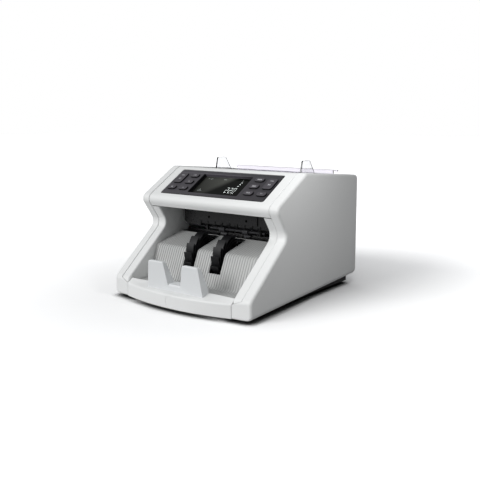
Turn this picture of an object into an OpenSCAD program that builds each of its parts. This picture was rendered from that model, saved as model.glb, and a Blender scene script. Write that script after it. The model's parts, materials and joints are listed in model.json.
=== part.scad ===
// Banknote counting machine: desktop, front stacking, roller friction feed.
// X runs across the machine, Y from the front lip to the rear, Z up.
// The origin is on the table, under the middle of the machine.

/* [Body] */
// Overall width across the two side covers
body_w = 250; // [248:1:262]
// Height of the knee where the deck meets the control slope
deck_z = 184.5; // [183.5:0.5:186]
// How far the front lip bows forward in plan
lip_bow = 14; // [10:0.5:15]
// Wall thickness of the moulded covers
wall = 2.6; // [2.2:0.1:3]
// Width of the groove between a side cover and the middle shells
groove = 1.0; // [0.6:0.1:1.4]

/* [Control panel] */
// Width of the charcoal control panel
panel_w = 188.8; // [184:0.2:190]
// Width of the display recess
display_w = 90; // [86:1:92]
// Depth of the display glass below the panel face
display_depth = 4.5; // [3.5:0.5:6.5]
// How far the key caps stand above the panel
key_proud = 1.6; // [1:0.1:2]

/* [Stacker] */
// Distance of each stacker wheel from the middle
wheel_x = 25; // [24:0.5:26]
// Outer radius of the stacker wheel blades
wheel_r = 35.5; // [32:0.5:36]
// Number of blades on each stacker wheel
blades = 16; // [12:1:16]
// Thickness of a blade at its root
blade_t = 1.0; // [0.9:0.1:1.2]

/* [Hopper] */
// Distance of each hopper guide from the middle
guide_x = 80; // [78:0.5:81]
// Thickness of the clear guides
guide_t = 2.5; // [2:0.1:3]
// Radius of the feed rollers
feed_r = 17; // [16:0.5:17]
// Radius of the pickup rollers
pickup_r = 14; // [13:0.5:14]

/* [Hidden] */
$fn = 48;
foot_h = 4;                 // height of the rubber feet
e = 0.02;
hw = body_w/2;              // half width
sx = hw - 15;               // plane between side covers and middle shells
mx = 95.5;                  // half width of the stacker mouth
cx = sx - groove/2 - 0.1;   // outer edge of the middle shells
vx = sx + groove/2 - 0.1;   // inner edge of the side covers
slope = 30.5;               // control slope
panel_o = [-11.0, 179.5];   // top edge of the control panel
display_x = -1.1;           // middle of the display
// shaft centres in the side view
feed_c = [14, 111];
pick_c = [61.8, 129.4];
ret_c  = [-3.8, 128.8];
tran_c = [6, 83];
pinch_c = [-4, 93];
stack_c = [-47.75, 58];
mot_c = [62, 42];
smot_c = [-6, 36];
shaft_r = 3;
run = 0.05;                 // running clearance on the radius
pin_c = [0, 105];           // guide pinion
pitch_r = 7;
teeth = 14;
c_white = [0.90, 0.905, 0.90];
c_dark = [0.29, 0.28, 0.30];
c_black = [0.05, 0.05, 0.055];
c_grey = [0.72, 0.73, 0.73];
c_steel = [0.72, 0.73, 0.75];
c_clear = [0.85, 0.82, 0.92, 0.45];
c_pcb = [0.05, 0.30, 0.16];
c_rubber = [0.10, 0.10, 0.11];

// ---------- side profile ----------
function bow(x) = -147.5 + lip_bow*pow(min(abs(x), 97)/97, 2) + 0.1*max(0, abs(x) - 97);
function slant_z(y) = 102.4 + 0.8525*(y + 46.32);
// corners of the side profile at distance x from the middle; the lower edge rises by e1
function corners(x, e1=0) = [[147.5, 17 + e1], [145, deck_z - 12.1], [-3.6, deck_z],
  [-76.6, deck_z - 42.9], [-48.06, 100.9], [bow(x), slant_z(bow(x))], [bow(x), 4 + e1]];
radii = [6, 7, 11, 10, 13, 11, 3];
function unit(v) = v/norm(v);
function left(a, b) = let(u = unit(b - a)) [-u[1], u[0]];
// polygon c moved inwards by d
function inset(c, d) = [for (i = [0:len(c)-1]) let(n = len(c), a = left(c[(i+n-1)%n], c[i]),
  b = left(c[i], c[(i+1)%n])) c[i] + d*(a + b)/(1 + a*b)];
function turn(c, i) = let(n = len(c), a = c[i] - c[(i+n-1)%n], b = c[(i+1)%n] - c[i]) a[0]*b[1] - a[1]*b[0];
// polygon c with corner radii r, n steps on each corner
function rounded(c, r, n=5) = [for (i = [0:len(c)-1]) let(m = len(c), p = c[i],
   a = unit(c[(i+m-1)%m] - p), b = unit(c[(i+1)%m] - p), h = acos(max(-1, min(1, a*b)))/2,
   t = r[i]/tan(h), q = p + unit(a + b)*r[i]/sin(h), s = p + a*t - q,
   w = (turn(c, i) > 0 ? 1 : -1)*(180 - 2*h))
   for (k = [0:n]) let(g = w*k/n) q + [s[0]*cos(g) - s[1]*sin(g), s[0]*sin(g) + s[1]*cos(g)]];
function ring_r(c, d) = [for (i = [0:len(c)-1]) max(0.4, turn(c, i) > 0 ? radii[i] - d : radii[i] + d)];
function outline(x, d, e1=0, n=5) = let(c = corners(x, e1)) rounded(inset(c, d), ring_r(c, d), n);

// solid through a row of rings with equal point counts; c is the (y, z) centre of its end faces
module loft(rings, c) {
  n = len(rings[0]); m = len(rings);
  polyhedron(points = concat([for (r = rings) for (p = r) p],
      [[rings[0][0][0], c[0], c[1]], [rings[m-1][0][0], c[0], c[1]]]),
    faces = concat([for (i = [0:n-1]) [m*n, i, (i+1)%n]], [for (i = [0:n-1]) [m*n + 1, (m-1)*n + (i+1)%n, (m-1)*n + i]],
      [for (j = [0:m-2]) for (i = [0:n-1]) [j*n + i, (j+1)*n + i, (j+1)*n + (i+1)%n, j*n + (i+1)%n]]),
    convexity = 8);
}
core = [0, 80];             // a point that sees the whole side profile
// extrude a (y, z) drawing along X from x0 to x1
module along_x(x0, x1) translate([x0, 0, 0]) rotate([90, 0, 90]) linear_extrude(x1 - x0, convexity=8) children();
module rod(x0, x1, c, r) translate([x0, c[0], c[1]]) rotate([0, 90, 0]) cylinder(r=r, h=x1 - x0);
module box(a, b) translate(a) cube(b - a);
module shell2d(x, d0, d1) difference() { polygon(outline(x, d0)); polygon(outline(x, d1)); }
module mirrored(on) if (on) mirror([1, 0, 0]) children(); else children();
// frame of the control slope: x across, y up the slope, z out of it
module on_panel() translate([0, panel_o[0], panel_o[1]]) rotate([slope, 0, 0]) children();
module slab(w, h, t, r) translate([0, 0, 0]) linear_extrude(t) polygon(rounded(
  [[w/2, -h/2], [w/2, h/2], [-w/2, h/2], [-w/2, -h/2]], [r, r, r, r], 4));

// ---------- outer shells ----------
fillet = 4;
function ring_x(a) = hw - fillet + fillet*sin(a);
function ring_d(a) = fillet*(1 - cos(a));
function ring_e(x, d) = x < hw - 8 ? 0 : max(0, 8 - sqrt(max(0, 64 - pow(x - hw + 8, 2))) - d);
module side_cover() {
  xs = concat([[vx, 0], [hw - 8, 0]], [for (a = [0:22.5:90]) [ring_x(a), ring_d(a)]]);
  difference() {
    loft([for (q = xs) let(o = outline(min(q[0], 125), q[1], ring_e(q[0], q[1]))) [for (p = o) [q[0], p[0], p[1]]]], core);
    along_x(vx - 1, hw - wall) polygon(outline(118, wall + 2.2, 2.5));
  }
  foot_corner();
}
// outer corner of the foot, between the side cover and the front lip
function cut_z(x) = 23.2 + 0.415*(x - mx);
module foot_corner() intersection() {
  loft([for (x = [mx + 0.15, 97, 100, 104, 108, vx + 0.4]) [for (p = outline(x, 0)) [x, p[0], p[1]]]], core);
  rotate([90, 0, 0]) translate([0, 0, 112]) linear_extrude(40)
    polygon([[mx, 0], [vx + 1, 0], [vx + 1, cut_z(vx + 1)], [mx, cut_z(mx)]]);
}
module cheek() difference() {
  intersection() {
    union() {
      along_x(mx + 0.5, cx) shell2d(sx, 0.6, 0.6 + wall);
      along_x(mx + 0.5, mx + 0.5 + 2.4) polygon(outline(sx, 0.6));
    }
    rotate([90, 0, 0]) translate([0, 0, 16]) linear_extrude(140)
      polygon([[mx, cut_z(mx) + 0.3], [cx + 1, cut_z(cx + 1) + 0.3], [cx + 1, 127.5], [mx, 127.5]]);
  }
  rod(mx, cx, stack_c, 7);
}
module cheek_and_wall() {
  cheek();
  // inner wall carried back beside the sensor box
  along_x(mx + 0.5, mx + 2.9) polygon([[-16.5, 60], [1, 60], [1, 127.5], [-16.5, 127.5]]);
}
module top_cover() difference() {
  union() {
    intersection() {
      along_x(-cx, cx) shell2d(sx, 0.6, 0.6 + wall);
      box([-cx, -100, 128.6], [cx, 128.2, 200]);
    }
    // return flange under the nose
    box([-cx + 3, -64.2, 128.6], [cx - 3, -59, 130.8]);
    // flange around the hopper well
    for (s = [-1, 1]) along_x(s > 0 ? 95.4 : -97.4, s > 0 ? 97.4 : -95.4)
      polygon([[12, 164], [126, 164], [126, deck_top(126) + 0.5], [12, deck_top(12) + 0.5]]);
  }
  // hopper well
  box([-93.6, 11, 150], [93.6, 126.9, 200]);
  // seat of the control panel
  on_panel() {
    translate([0, -30.25, -1.4]) slab(panel_w + 0.4, 62.7, 10, 3.2);
    translate([0, -30.25, -8]) slab(panel_w - 5, 56.4, 20, 2);
  }
}
module rear_cover() difference() {
  union() {
    intersection() {
      along_x(-cx, cx) shell2d(sx, 0.6, 0.6 + wall);
      box([-cx, 128.5, 17.6], [cx, 160, 200]);
    }
    for (s = [-1, 1]) translate([s*98, 0, 0]) for (z = [30, 156]) translate([0, 145, z]) rotate([90, 0, 0]) cylinder(r=4.6, h=7);
  }
  box([-78, 120, 62], [78, 160, 150]);
  rod(-83, 83, [144.83, 64.9], 0.86);
  box([57, 120, 24], [87, 160, 46]);
  box([32.6, 120, 22.9], [51.4, 160, 46.9]);
  box([-88.4, 120, 23.6], [-51.6, 160, 41.4]);
  for (s = [-1, 1]) for (z = [30, 156]) translate([s*98, 0, z]) rotate([90, 0, 0]) {
    translate([0, 0, -160]) cylinder(r=1.7, h=30);
    translate([0, 0, -149.5]) cylinder(r=3.5, h=6);
  }
}
module rear_door() {
  difference() {
    intersection() {
      along_x(-77.6, 77.6) shell2d(sx, 0.6, 0.6 + wall);
      box([-77.6, 130, 62.5], [77.6, 160, 149.6]);
    }
    // finger recess at the top edge
    translate([0, 152.5, 147]) rotate([0, 0, 0]) scale([1, 1, 1]) rod(-13, 13, [-4.2, 0], 4.6);
  }
  for (s = [-1, 1]) rod(s > 0 ? 77 : -82.6, s > 0 ? 82.6 : -77, [144.83, 64.9], 0.8);
  // stiffening ribs on the inner face
  for (x = [-60, -20, 20, 60]) box([x - 1, 140.2, 72], [x + 1, 143.4, 140]);
}
// front lip: vertical bowed face, crease, and a top that rises to the rear
function lip_ring(x, d) = let(b = bow(x) + d) rounded(
  [[-124 - d, 4 + d*0.6], [-124 - d, 30 - d], [b, 23.5 - d*1.1], [b, 4 + d*0.6]], [0.8, 0.8, d > 0 ? 1.5 : 3.5, 1.2], 3);
module front_lip() difference() {
  loft([for (i = [-8:8]) let(x = i*(mx - 0.2)/8) [for (p = lip_ring(x, 0)) [x, p[0], p[1]]]], [-128, 15]);
  loft([for (i = [-8:8]) let(x = i*(mx - 3)/8) [for (p = lip_ring(x, 2.6)) [x, p[0], p[1]]]], [-129, 15]);
  box([-mx + 8, -136, 2], [mx - 8, -127, 10]);
  // blank round recess
  translate([0, -140, 14.6]) rotate([90, 0, 0]) difference() { translate([0, 0, 7.1]) cylinder(r=8, h=3); }
}
module stacker_stop() {
  intersection() {
    along_x(-52, 52) polygon(rounded([[-124.6, 28.5], [-124.6, 35], [-135.8, 65.5], [-141.2, 65.5], [-137.5, 25.5], [-134, 25]],
      [0, 2, 2.2, 1.6, 0, 0], 4));
    rotate([90, 0, 0]) translate([0, 0, 120]) linear_extrude(30) union() {
      for (s = [-1, 1]) scale([s, 1]) polygon(rounded([[9, 20], [51, 20], [45, 65.5], [17.4, 65.5]], [0, 0, 4, 4], 4));
    }
  }
  // low web between the fingers, flush with their front
  along_x(-13.5, 13.5) polygon([[-124.6, 28.5], [-124.6, 36.5], [-136.4, 35.2], [-138.1, 32.6], [-137.5, 25.5], [-134, 25]]);
}
ramp_pts = [[-20.4, 85.7], [-70.75, 72], [-90.75, 25], [-123.6, 25]];
module stacker_ramp() difference() {
  along_x(-mx, mx) polygon(concat(ramp_top(0), [for (i = [len(ramp_top(2.4))-1:-1:0]) ramp_top(2.4)[i]]));
  for (s = [-1, 1]) rod(s*wheel_x - 10.5, s*wheel_x + 10.5, stack_c, wheel_r + 2.2);
}
// top line of the ramp lowered by t, with the knee and the toe rounded
function ramp_top(t) = concat([[-20.4, 85.7 - t*1.03]],
  arc_at([-20.4, 85.7], [-70.75, 72], [-90.75, 25], 9, t, 6),
  arc_at([-70.75, 72], [-90.75, 25], [-123.6, 25], 7, -t, 5), [[-123.6, 25 - t]]);
// rounded corner at b; t > 0 shrinks the radius (convex), t < 0 grows it (concave)
function arc_at(a, b, c, r, t, n) = let(u = unit(a - b), v = unit(c - b), h = acos(u*v)/2,
  q = b + unit(u + v)*r/sin(h), s = b + u*(r/tan(h)) - q, w = sign(u[0]*v[1] - u[1]*v[0])*-1*(180 - 2*h))
  [for (k = [0:n]) let(g = w*k/n, f = (r - t)/r) q + f*[s[0]*cos(g) - s[1]*sin(g), s[0]*sin(g) + s[1]*cos(g)]];
module base_tray() difference() {
  union() {
    linear_extrude(2.5) translate([0, 0]) polygon(tray_plan(0));
    difference() {
      linear_extrude(12.4) polygon(tray_plan(0));
      translate([0, 0, -1]) linear_extrude(20) polygon(tray_plan(2.4));
    }
  }
  for (s = [-1, 1]) for (y = [-92, 120]) translate([s*92, y, -1]) cylinder(r=4.05, h=6);
  // ventilation slots
  for (i = [0:9]) box([-40 + i*8, 40, -1], [-37 + i*8, 76, 4]);
}
function tray_plan(d) = [[-109.6 + d, 144 - d], [-109.6 + d, -107 + d], [-94.6 + d, -107 + d], [-94.6 + d, -123 + d],
  [94.6 - d, -123 + d], [94.6 - d, -107 + d], [109.6 - d, -107 + d], [109.6 - d, 144 - d]];
module rubber_feet() for (s = [-1, 1]) for (y = [-92, 120]) translate([s*92, y, 0]) {
  difference() {
    union() {
      cylinder(r=9, h=foot_h);
      translate([0, 0, foot_h - e]) cylinder(r=4, h=2.6);
    }
    translate([0, 0, -1]) cylinder(r=2.2, h=2.8);
  }
}

// ---------- control panel ----------
kx = [60, 82.3];            // key columns
ks = [13.8, 29.8, 45.6];    // key rows, down the slope
// [column, row centre, height]
function key_at(i) = i == 1 ? [kx[1], 21.8, 24.2] : i == 2 ? [kx[0], ks[0], 8.6] : i == 3 ? [kx[0], ks[1], 8.6]
  : i == 4 ? [kx[0], ks[2], 8.6] : [kx[1], ks[2], 8.6];
module key(side, i) { k = key_at(i);
  on_panel() translate([side*k[0], -k[1], 0]) {
    translate([0, 0, -3.3]) slab(15.6, k[2], 3.3 + key_proud - 0.5, 3.6);
    translate([0, 0, key_proud - 0.5 - e]) slab(14.6, k[2] - 1, 0.5 + e, 3.2);
    translate([0, 0, -4.0]) slab(17.4, k[2] + 1.8, 0.85, 3.6);
    translate([0, 0, -5.0]) cylinder(r=2.2, h=1.2);
  }
}
module control_panel() on_panel() difference() {
  union() {
    translate([0, -30.25, -1.35]) slab(panel_w, 62.2, 1.15, 3);
    translate([0, -30.25, -3.0]) slab(panel_w - 5.6, 55.8, 1.7, 1.8);
    translate([display_x, -29.75, -8.6]) slab(display_w + 3, 49.5, 7, 2.2);
  }
  translate([display_x, -29.75, -display_depth - 0.2]) slab(display_w, 46.5, 20, 1.6);
  translate([display_x, -29.75, -12]) slab(display_w - 0.6, 45.9, 20, 1.4);
  for (s = [-1, 1]) for (i = [1:5]) { k = key_at(i);
    translate([s*k[0], -k[1], -6]) slab(16.2, k[2] + 0.6, 12, 3.9); }
}
module display_window() on_panel() translate([display_x, -29.75, -8.3]) slab(display_w - 0.9, 45.6, 8.3 - 0.2 - display_depth, 1.3);
module panel_board() on_panel() {
  translate([0, -29.75, -12.2]) slab(display_w + 2.6, 48.6, 3.4, 1);
  translate([0, -30, -14]) slab(display_w + 6, 52, 1.9, 1);
  for (s = [-1, 1]) {
    translate([s*70.5, -30, -8.2]) slab(39, 52, 1.6, 1);
    for (i = [1:5]) { k = key_at(i); translate([s*k[0], -k[1], -6.7]) cylinder(r=3.2, h=0.5); }
    box([s > 0 ? 49.3 : -51.3, -40, -13], [s > 0 ? 51.3 : -49.3, -20, -6.9]);
  }
}

// ---------- hopper ----------
function floor_z(y) = 130 + 0.337*(y - 26);
module hopper_floor() difference() {
  union() {
    along_x(-93.3, 93.3) polygon([[25, floor_z(25)], [25, floor_z(25) - 2.1], [121, floor_z(121) - 2.1], [121, floor_z(121)]]);
    translate([pin_c[0], pin_c[1], 132.4]) cylinder(r=2, h=23);
    translate([pin_c[0], pin_c[1], 132.4]) cylinder(r=4.2, h=1.8);
    for (x = [-44, -8, 8, 44]) along_x(x - 0.8, x + 0.8) polygon([[27, floor_z(27) - 1], [118, floor_z(118) - 1],
      [118, floor_z(118) + 0.7], [27, floor_z(27) + 0.7]]);
  }
  for (s = [-1, 1]) {
    box([s > 0 ? 49.5 : -92.4, 85.4, 140], [s > 0 ? 92.4 : -49.5, 92.6, 160]);
    box([s*22 - 7.8, 44, 120], [s*22 + 7.8, 80, 148]);
  }
}
module hopper_frame() difference() {
  union() {
    for (s = [-1, 1]) along_x(s > 0 ? 93.6 : -95.2, s > 0 ? 95.2 : -93.6)
      polygon([[9, 134], [25, 127.3], [122, 159.8], [127.2, 159.8], [127.2, deck_top(127.2)], [9, deck_top(9)]]);
    box([-95.2, 9, 136], [95.2, 10.8, deck_top(10.8)]);
    box([-95.2, 125.6, 150], [95.2, 127.2, deck_top(127.2)]);
    box([-14, -5, 145], [14, 9.2, 147]);
  }
  box([-10.5, 5, 149], [10.5, 14, 157]);
  translate([0, 3, 140]) cylinder(r=2.56, h=10);
}
function deck_top(y) = deck_z - 3.4 - 0.0815*(y + 3.6);
module rear_plate() {
  box([-93.3, 122.4, 158], [93.3, 124.9, 179.3]);
  box([-95, 124.9 - e, 177.8], [95, 131, 179.3]);
  for (s = [-1, 1]) box([s > 0 ? 95 - e : -98, 127, 176.6], [s > 0 ? 98 : -95 + e, 131, 179.3]);
}
fin = [[50.5, 139.9], [86.5, 152.0], [86.5, 143.1], [91.5, 143.1], [91.5, 153.7], [97, 155.5], [89, 176], [75, 196.3], [54.5, 196.5], [50.5, 178]];
module guide_fin() along_x(guide_x - guide_t/2, guide_x + guide_t/2)
  polygon(rounded(fin, [1, 0.3, 0.3, 0.3, 0.3, 1, 8, 4, 3, 6], 4));
module rack(x0, x1) {
  box([x0, -4.85, 0], [x1, -1.15, 4]);
  p = 2*PI*pitch_r/teeth;
  for (k = [ceil((x0 + 1.2)/p - 0.5):floor((x1 - 1.2)/p - 0.5)]) translate([(k + 0.5)*p, 0, 0])
    linear_extrude(4) polygon([[-0.98, -1.3], [0.98, -1.3], [0.62, 0], [0.34, 0.8], [-0.34, 0.8], [-0.62, 0]]);
}
module carriage_block() difference() {
  box([74, 83, 135], [84, 92.5, 143]);
  rod(70, 90, [89, 139], 2.56);
}
module guide_carriage_right() {
  carriage_block();
  box([74, 92, 135], [84, 97, 139]);
  translate([0, pin_c[1] - pitch_r, 135]) rack(-16, 75);
}
module guide_carriage_left() {
  mirror([1, 0, 0]) carriage_block();
  box([-84, 92, 135], [-74, 117, 139]);
  translate([0, pin_c[1] + pitch_r, 135]) mirror([0, 1, 0]) rack(-75, 16);
}
module guide_pinion() translate([pin_c[0], pin_c[1], 134.6]) difference() {
  union() {
    cylinder(r=pitch_r - 1.35, h=5);
    for (k = [0:teeth-1]) rotate(90 + k*360/teeth) linear_extrude(4.6)
      polygon([[pitch_r - 2, -0.95], [pitch_r - 1.1, -0.86], [pitch_r, -0.56], [pitch_r + 0.75, -0.28],
        [pitch_r + 0.75, 0.28], [pitch_r, 0.56], [pitch_r - 1.1, 0.86], [pitch_r - 2, 0.95]]);
  }
  translate([0, 0, -1]) cylinder(r=2 + run, h=8);
}

// ---------- rollers, shafts and drive ----------
module pulley(x0, x1, c, r) {
  rod(x0, x1, c, r);
  rod(x0, x0 + 0.6, c, r + 2.2);
  rod(x1 - 0.6, x1, c, r + 2.2);
}
module hollow_rod(x0, x1, c, r0, r1) difference() { rod(x0, x1, c, r1); rod(x0 - 1, x1 + 1, c, r0); }
module pickup_shaft() {
  rod(-103, 112, pick_c, shaft_r);
  for (s = [-1, 1]) rod(s*22 - 6, s*22 + 6, pick_c, pickup_r);
  pulley(107.9, 112, pick_c, 9);
}
module feed_shaft() {
  rod(-108, 112, feed_c, shaft_r);
  pulley(102.6, 107.4, feed_c, 14);
  pulley(107.9, 112, feed_c, 9);
  pulley(-107.4, -102.6, feed_c, 14);
}
module feed_rollers() for (x = [-60, -22, 22, 60]) hollow_rod(x - (abs(x) > 30 ? 5 : 7), x + (abs(x) > 30 ? 5 : 7), feed_c, shaft_r, feed_r);
module retard_rollers() {
  rod(-58, 58, ret_c, shaft_r);
  for (s = [-1, 1]) rod(s*22 - 6, s*22 + 6, ret_c, 8);
}
module retard_bracket() difference() {
  union() {
    box([-55, -4, 139], [55, 4.2, 142]);
    for (s = [-1, 1]) {
      box([s > 0 ? 52 : -55, -8.4, 124], [s > 0 ? 55 : -52, 4.2, 142]);
      box([s > 0 ? 38 : -50, 4, 139], [s > 0 ? 50 : -38, 8.95, 142]);
    }
  }
  rod(-70, 70, ret_c, shaft_r + run);
}
module feed_gap_screw() translate([0, 3, 0]) {
  translate([0, 0, 142.3]) cylinder(r=2.5, h=14);
  difference() {
    translate([0, 0, 150]) cylinder(r=9.4, h=6);
    for (k = [0:23]) rotate(k*15) translate([9.6, 0, 149]) cylinder(r=0.7, h=8, $fn=16);
  }
}
module transport_shaft() {
  rod(-108, 110, tran_c, shaft_r);
  for (s = [-1, 1]) rod(s*22 - 6, s*22 + 6, tran_c, 9);
  pulley(-107.4, -102.6, tran_c, 8);
  // slotted timing disc
  difference() {
    rod(108, 109, tran_c, 11);
    for (k = [0:11]) translate([107.5, tran_c[0], tran_c[1]]) rotate([k*30, 0, 0]) translate([0, -0.8, 7]) cube([2, 1.6, 3]);
  }
}
module pinch_rollers() {
  rod(-56, 56, pinch_c, 2);
  for (s = [-1, 1]) rod(s*22 - 5, s*22 + 5, pinch_c, 4.85);
}
module stacker_shaft() {
  rod(-108, 104, stack_c, shaft_r);
  pulley(-107.4, -102.6, stack_c, 12);
}
hub_r = 12;
function blade_pt(t, off) = let(r = hub_r - 1.5 + (wheel_r - hub_r + 1.5)*t, a = -130*pow(t, 0.85),
  r2 = hub_r - 1.5 + (wheel_r - hub_r + 1.5)*(t + 0.01), a2 = -130*pow(t + 0.01, 0.85),
  p = [r*cos(a), r*sin(a)], q = [r2*cos(a2), r2*sin(a2)], u = unit(q - p)) p + off*[-u[1], u[0]];
module wheel() {
  difference() {
    union() {
      circle(r=hub_r);
      for (k = [0:blades-1]) rotate(k*360/blades) polygon(concat([for (i = [0:10]) blade_pt(i/10, blade_t/2)],
        [for (i = [10:-1:0]) blade_pt(i/10, -blade_t/2*(1 - 0.3*i/10))]));
    }
    circle(r=shaft_r);
  }
}
module stacker_wheels() for (s = [-1, 1]) translate([s*wheel_x - 7, stack_c[0], stack_c[1]]) rotate([90, 0, 90]) linear_extrude(14, convexity=10) wheel();
module main_motor() {
  rod(38, 97, mot_c, 22);
  rod(97 - e, 99.15, mot_c, 11);
  rod(34, 38 + e, mot_c, 16);
  box([42, mot_c[0] - 12, 63], [60, mot_c[0] + 12, 66]);
}
module motor_pulley() {
  rod(99.5, 108, mot_c, shaft_r);
  pulley(102.6, 107.4, mot_c, 8);
}
module stacker_motor() {
  rod(-94, -54, smot_c, 14);
  rod(-99.15, -94 + e, smot_c, 8);
}
module stacker_pulley() {
  rod(-108, -99.5, smot_c, 2.5);
  pulley(-107.4, -102.6, smot_c, 8);
}
module belt(x0, x1, a, ra, b, rb) along_x(x0, x1) difference() {
  hull() { translate(a) circle(r=ra + 1.7); translate(b) circle(r=rb + 1.7); }
  hull() { translate(a) circle(r=ra + 0.3); translate(b) circle(r=rb + 0.3); }
}
module drive_belts() {
  belt(103.5, 106.5, feed_c, 14, mot_c, 8);
  belt(108.8, 111.1, feed_c, 9, pick_c, 9);
  belt(-106.5, -103.5, feed_c, 14, tran_c, 8);
  belt(-106.5, -103.5, stack_c, 12, smot_c, 8);
}
module chassis_plates() for (s = [-1, 1]) difference() {
  along_x(s > 0 ? 99.2 : -100.8, s > 0 ? 100.8 : -99.2)
    polygon([[-70, 8], [122, 8], [122, 150], [-14, 150], [-30, 130], [-38, 101], [-60, 78]]);
  for (c = [feed_c, pick_c, tran_c, stack_c]) rod(-110, 110, c, 5);
  rod(90, 110, mot_c, 8);
  rod(-110, -90, smot_c, 6);
}
module frame_spacers() {
  for (c = [[10, 16], [112, 70], [34, 86]]) rod(-99.15, 99.15, c, 4);
  rod(-99.15, 99.15, [89, 139], 2.5);
}
module shaft_bushes() for (s = [-1, 1]) for (c = [feed_c, pick_c, tran_c, stack_c]) difference() {
  union() {
    rod(s > 0 ? 99.2 : -102.2, s > 0 ? 102.2 : -99.2, c, 4.98);
    rod(s > 0 ? 100.85 : -102.2, s > 0 ? 102.2 : -100.85, c, 6.8);
  }
  rod(s > 0 ? 90 : -110, s > 0 ? 110 : -90, c, shaft_r + run);
}
module sensor_carrier() difference() {
  union() {
    // hollow box with leaning flanks
    difference() {
      intersection() {
        box([-85.5, -19.75, 98], [85.5, -6, 150]);
        rotate([90, 0, 0]) translate([0, 0, 0]) linear_extrude(40) polygon([[-80.5, 98], [80.5, 98], [85.5, 103], [85.5, 150], [-85.5, 150], [-85.5, 103]]);
      }
      box([-78, -17.2, 101.6], [78, -8, 119]);
      box([-82.6, -17.2, 118], [82.6, 0, 160]);
      // rounded lower front, set back between the ribs
      along_x(-53, 76) polygon([[-20, 97], [-20, 105.9], [-18.45, 105.9], [-18.45, 101.2], [-15, 98], [-15, 97]]);
    }
    for (i = [-3:5]) along_x(i*14 - 2.6, i*14 + 2.6)
      polygon([[-19.7, 106.1], [-19.7, 103.4], [-19.0, 100.9], [-17.4, 98.9], [-14.6, 98], [-14.6, 99], [-18.4, 102], [-18.4, 106.1]]);
    box([-54, -21.6, 106], [54, -19.7, 131.5]);
    box([-95, -58, 131], [95, -17.3, 133]);
    for (s = [-1, 1]) {
      box([s > 0 ? 85.4 : -99.15, -15, 138], [s > 0 ? 99.15 : -85.4, -9, 144]);
      box([s > 0 ? 48 : -51, -9, 89.4], [s > 0 ? 51 : -48, -1.4, 98.2]);
      // wing that closes the mouth beside the box
      box([s > 0 ? 79 : -95.4, -8, 98], [s > 0 ? 95.4 : -79, -6, 131.1]);
    }
  }
  for (s = [-1, 1]) translate([s*35, -23, 112]) rotate([-90, 0, 0]) cylinder(r=2, h=5);
  rod(-60, 60, pinch_c, 2 + run);
}
module lower_guide() difference() {
  union() {
    box([-95.4, -19.9, 83.2], [95.4, 1, 85.5]);
    box([-95.4, -1, 83.2], [95.4, 1, 88]);
    // low ribs that carry the notes out
    for (i = [-12:12]) box([i*7.5 - 0.5, -19, 85.4], [i*7.5 + 0.5, -0.9, 86.0]);
  }
  for (s = [-1, 1]) box([s*22 - 7.5, -10.5, 80], [s*22 + 7.5, 2, 99]);
  for (s = [-1, 1]) box([s*49.5 - 2.2, -12, 87], [s*49.5 + 2.2, -0.9, 99]);
  rod(-60, 60, pinch_c, 2.6);
}
module sensor_boards() {
  box([-76, -15, 102], [76, -13.4, 117]);
  for (x = [-66, -40, 0, 40, 66]) box([x - 4, -13.5, 104], [x + 4, -9, 112]);
  // optical fork around the timing disc
  difference() {
    box([100.85, tran_c[0] - 17, tran_c[1] - 4], [111, tran_c[0] - 7.2, tran_c[1] + 4]);
    box([107.3, tran_c[0] - 12.4, tran_c[1] - 5], [109.7, tran_c[0] - 6, tran_c[1] + 5]);
  }
}
module main_board() {
  box([-92, 30, 14], [-4, 118, 15.6]);
  for (x = [-84, -12]) for (y = [38, 110]) translate([x, y, 6.5]) cylinder(r=3, h=7.6);
  box([-70, 60, 15.5], [-46, 84, 17.6]);
  box([-34, 50, 15.5], [-20, 64, 17.2]);
  box([-88, 92, 15.5], [-60, 100, 24]);
  box([-50, 96, 15.5], [-24, 104, 24]);
  for (i = [0:4]) box([-34 + i*4, 72, 17], [-32.4 + i*4, 90, 30]);
  box([-36, 70, 15.5], [-14, 92, 17.2]);
  for (x = [-80, -66, -52]) translate([x, 44, 15.5]) cylinder(r=4, h=12);
}
module power_supply() {
  box([6, 88, 10], [92, 117, 11.6]);
  box([10, 90, 11.5], [48, 115, 44]);
  box([54, 92, 11.5], [60, 114, 34]);
  for (x = [70, 84]) translate([x, 103, 11.5]) cylinder(r=6, h=22);
  for (x = [10, 88]) for (y = [91, 114]) translate([x, y, 6.5]) cylinder(r=2, h=3.6);
}
module mains_inlet() {
  difference() {
    union() {
      box([58, 120, 25], [86, 147, 45]);
      box([34.6, 128, 24.6 - 1.2], [49.4, 147, 46.6]);
      box([33, 122, 25], [51, 147, 45]);
      box([30.5, 146.88, 21.5], [89, 147.5, 48.5]);
    }
    // socket
    translate([72, 150, 35]) rotate([90, 0, 0]) translate([0, 0, 0]) linear_extrude(21)
      polygon([[-12, -8.2], [12, -8.2], [12, 4.6], [8.4, 8.2], [-8.4, 8.2], [-12, 4.6]]);
    // rocker well
    box([34.6, 129, 24.6], [49.4, 150, 45.4]);
    rod(32.6, 51.4, [138, 35], 1.5 + run);
  }
  for (p = [[-7, 3], [0, -1], [7, 3]]) box([72 + p[0] - 1, 128, 35 + p[1] - 2], [72 + p[0] + 1, 144, 35 + p[1] + 2]);
}
module power_rocker() translate([0, 138, 35]) rotate([-8, 0, 0]) translate([0, -138, -35]) {
  along_x(35, 49) translate([138, 35]) polygon([[-3, -4.6], [4, -9.1], [8.0, -8.9], [6.2, 0], [8.0, 8.9], [4, 9.1], [-3, 4.6]]);
  rod(33, 51, [138, 35], 1.5);
}
module data_ports() difference() {
  box([-88, 124, 24], [-52, 146.9, 41]);
  for (x = [-79, -61]) box([x - 5.9, 133, 28], [x + 5.9, 148, 36.4]);
}
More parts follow.
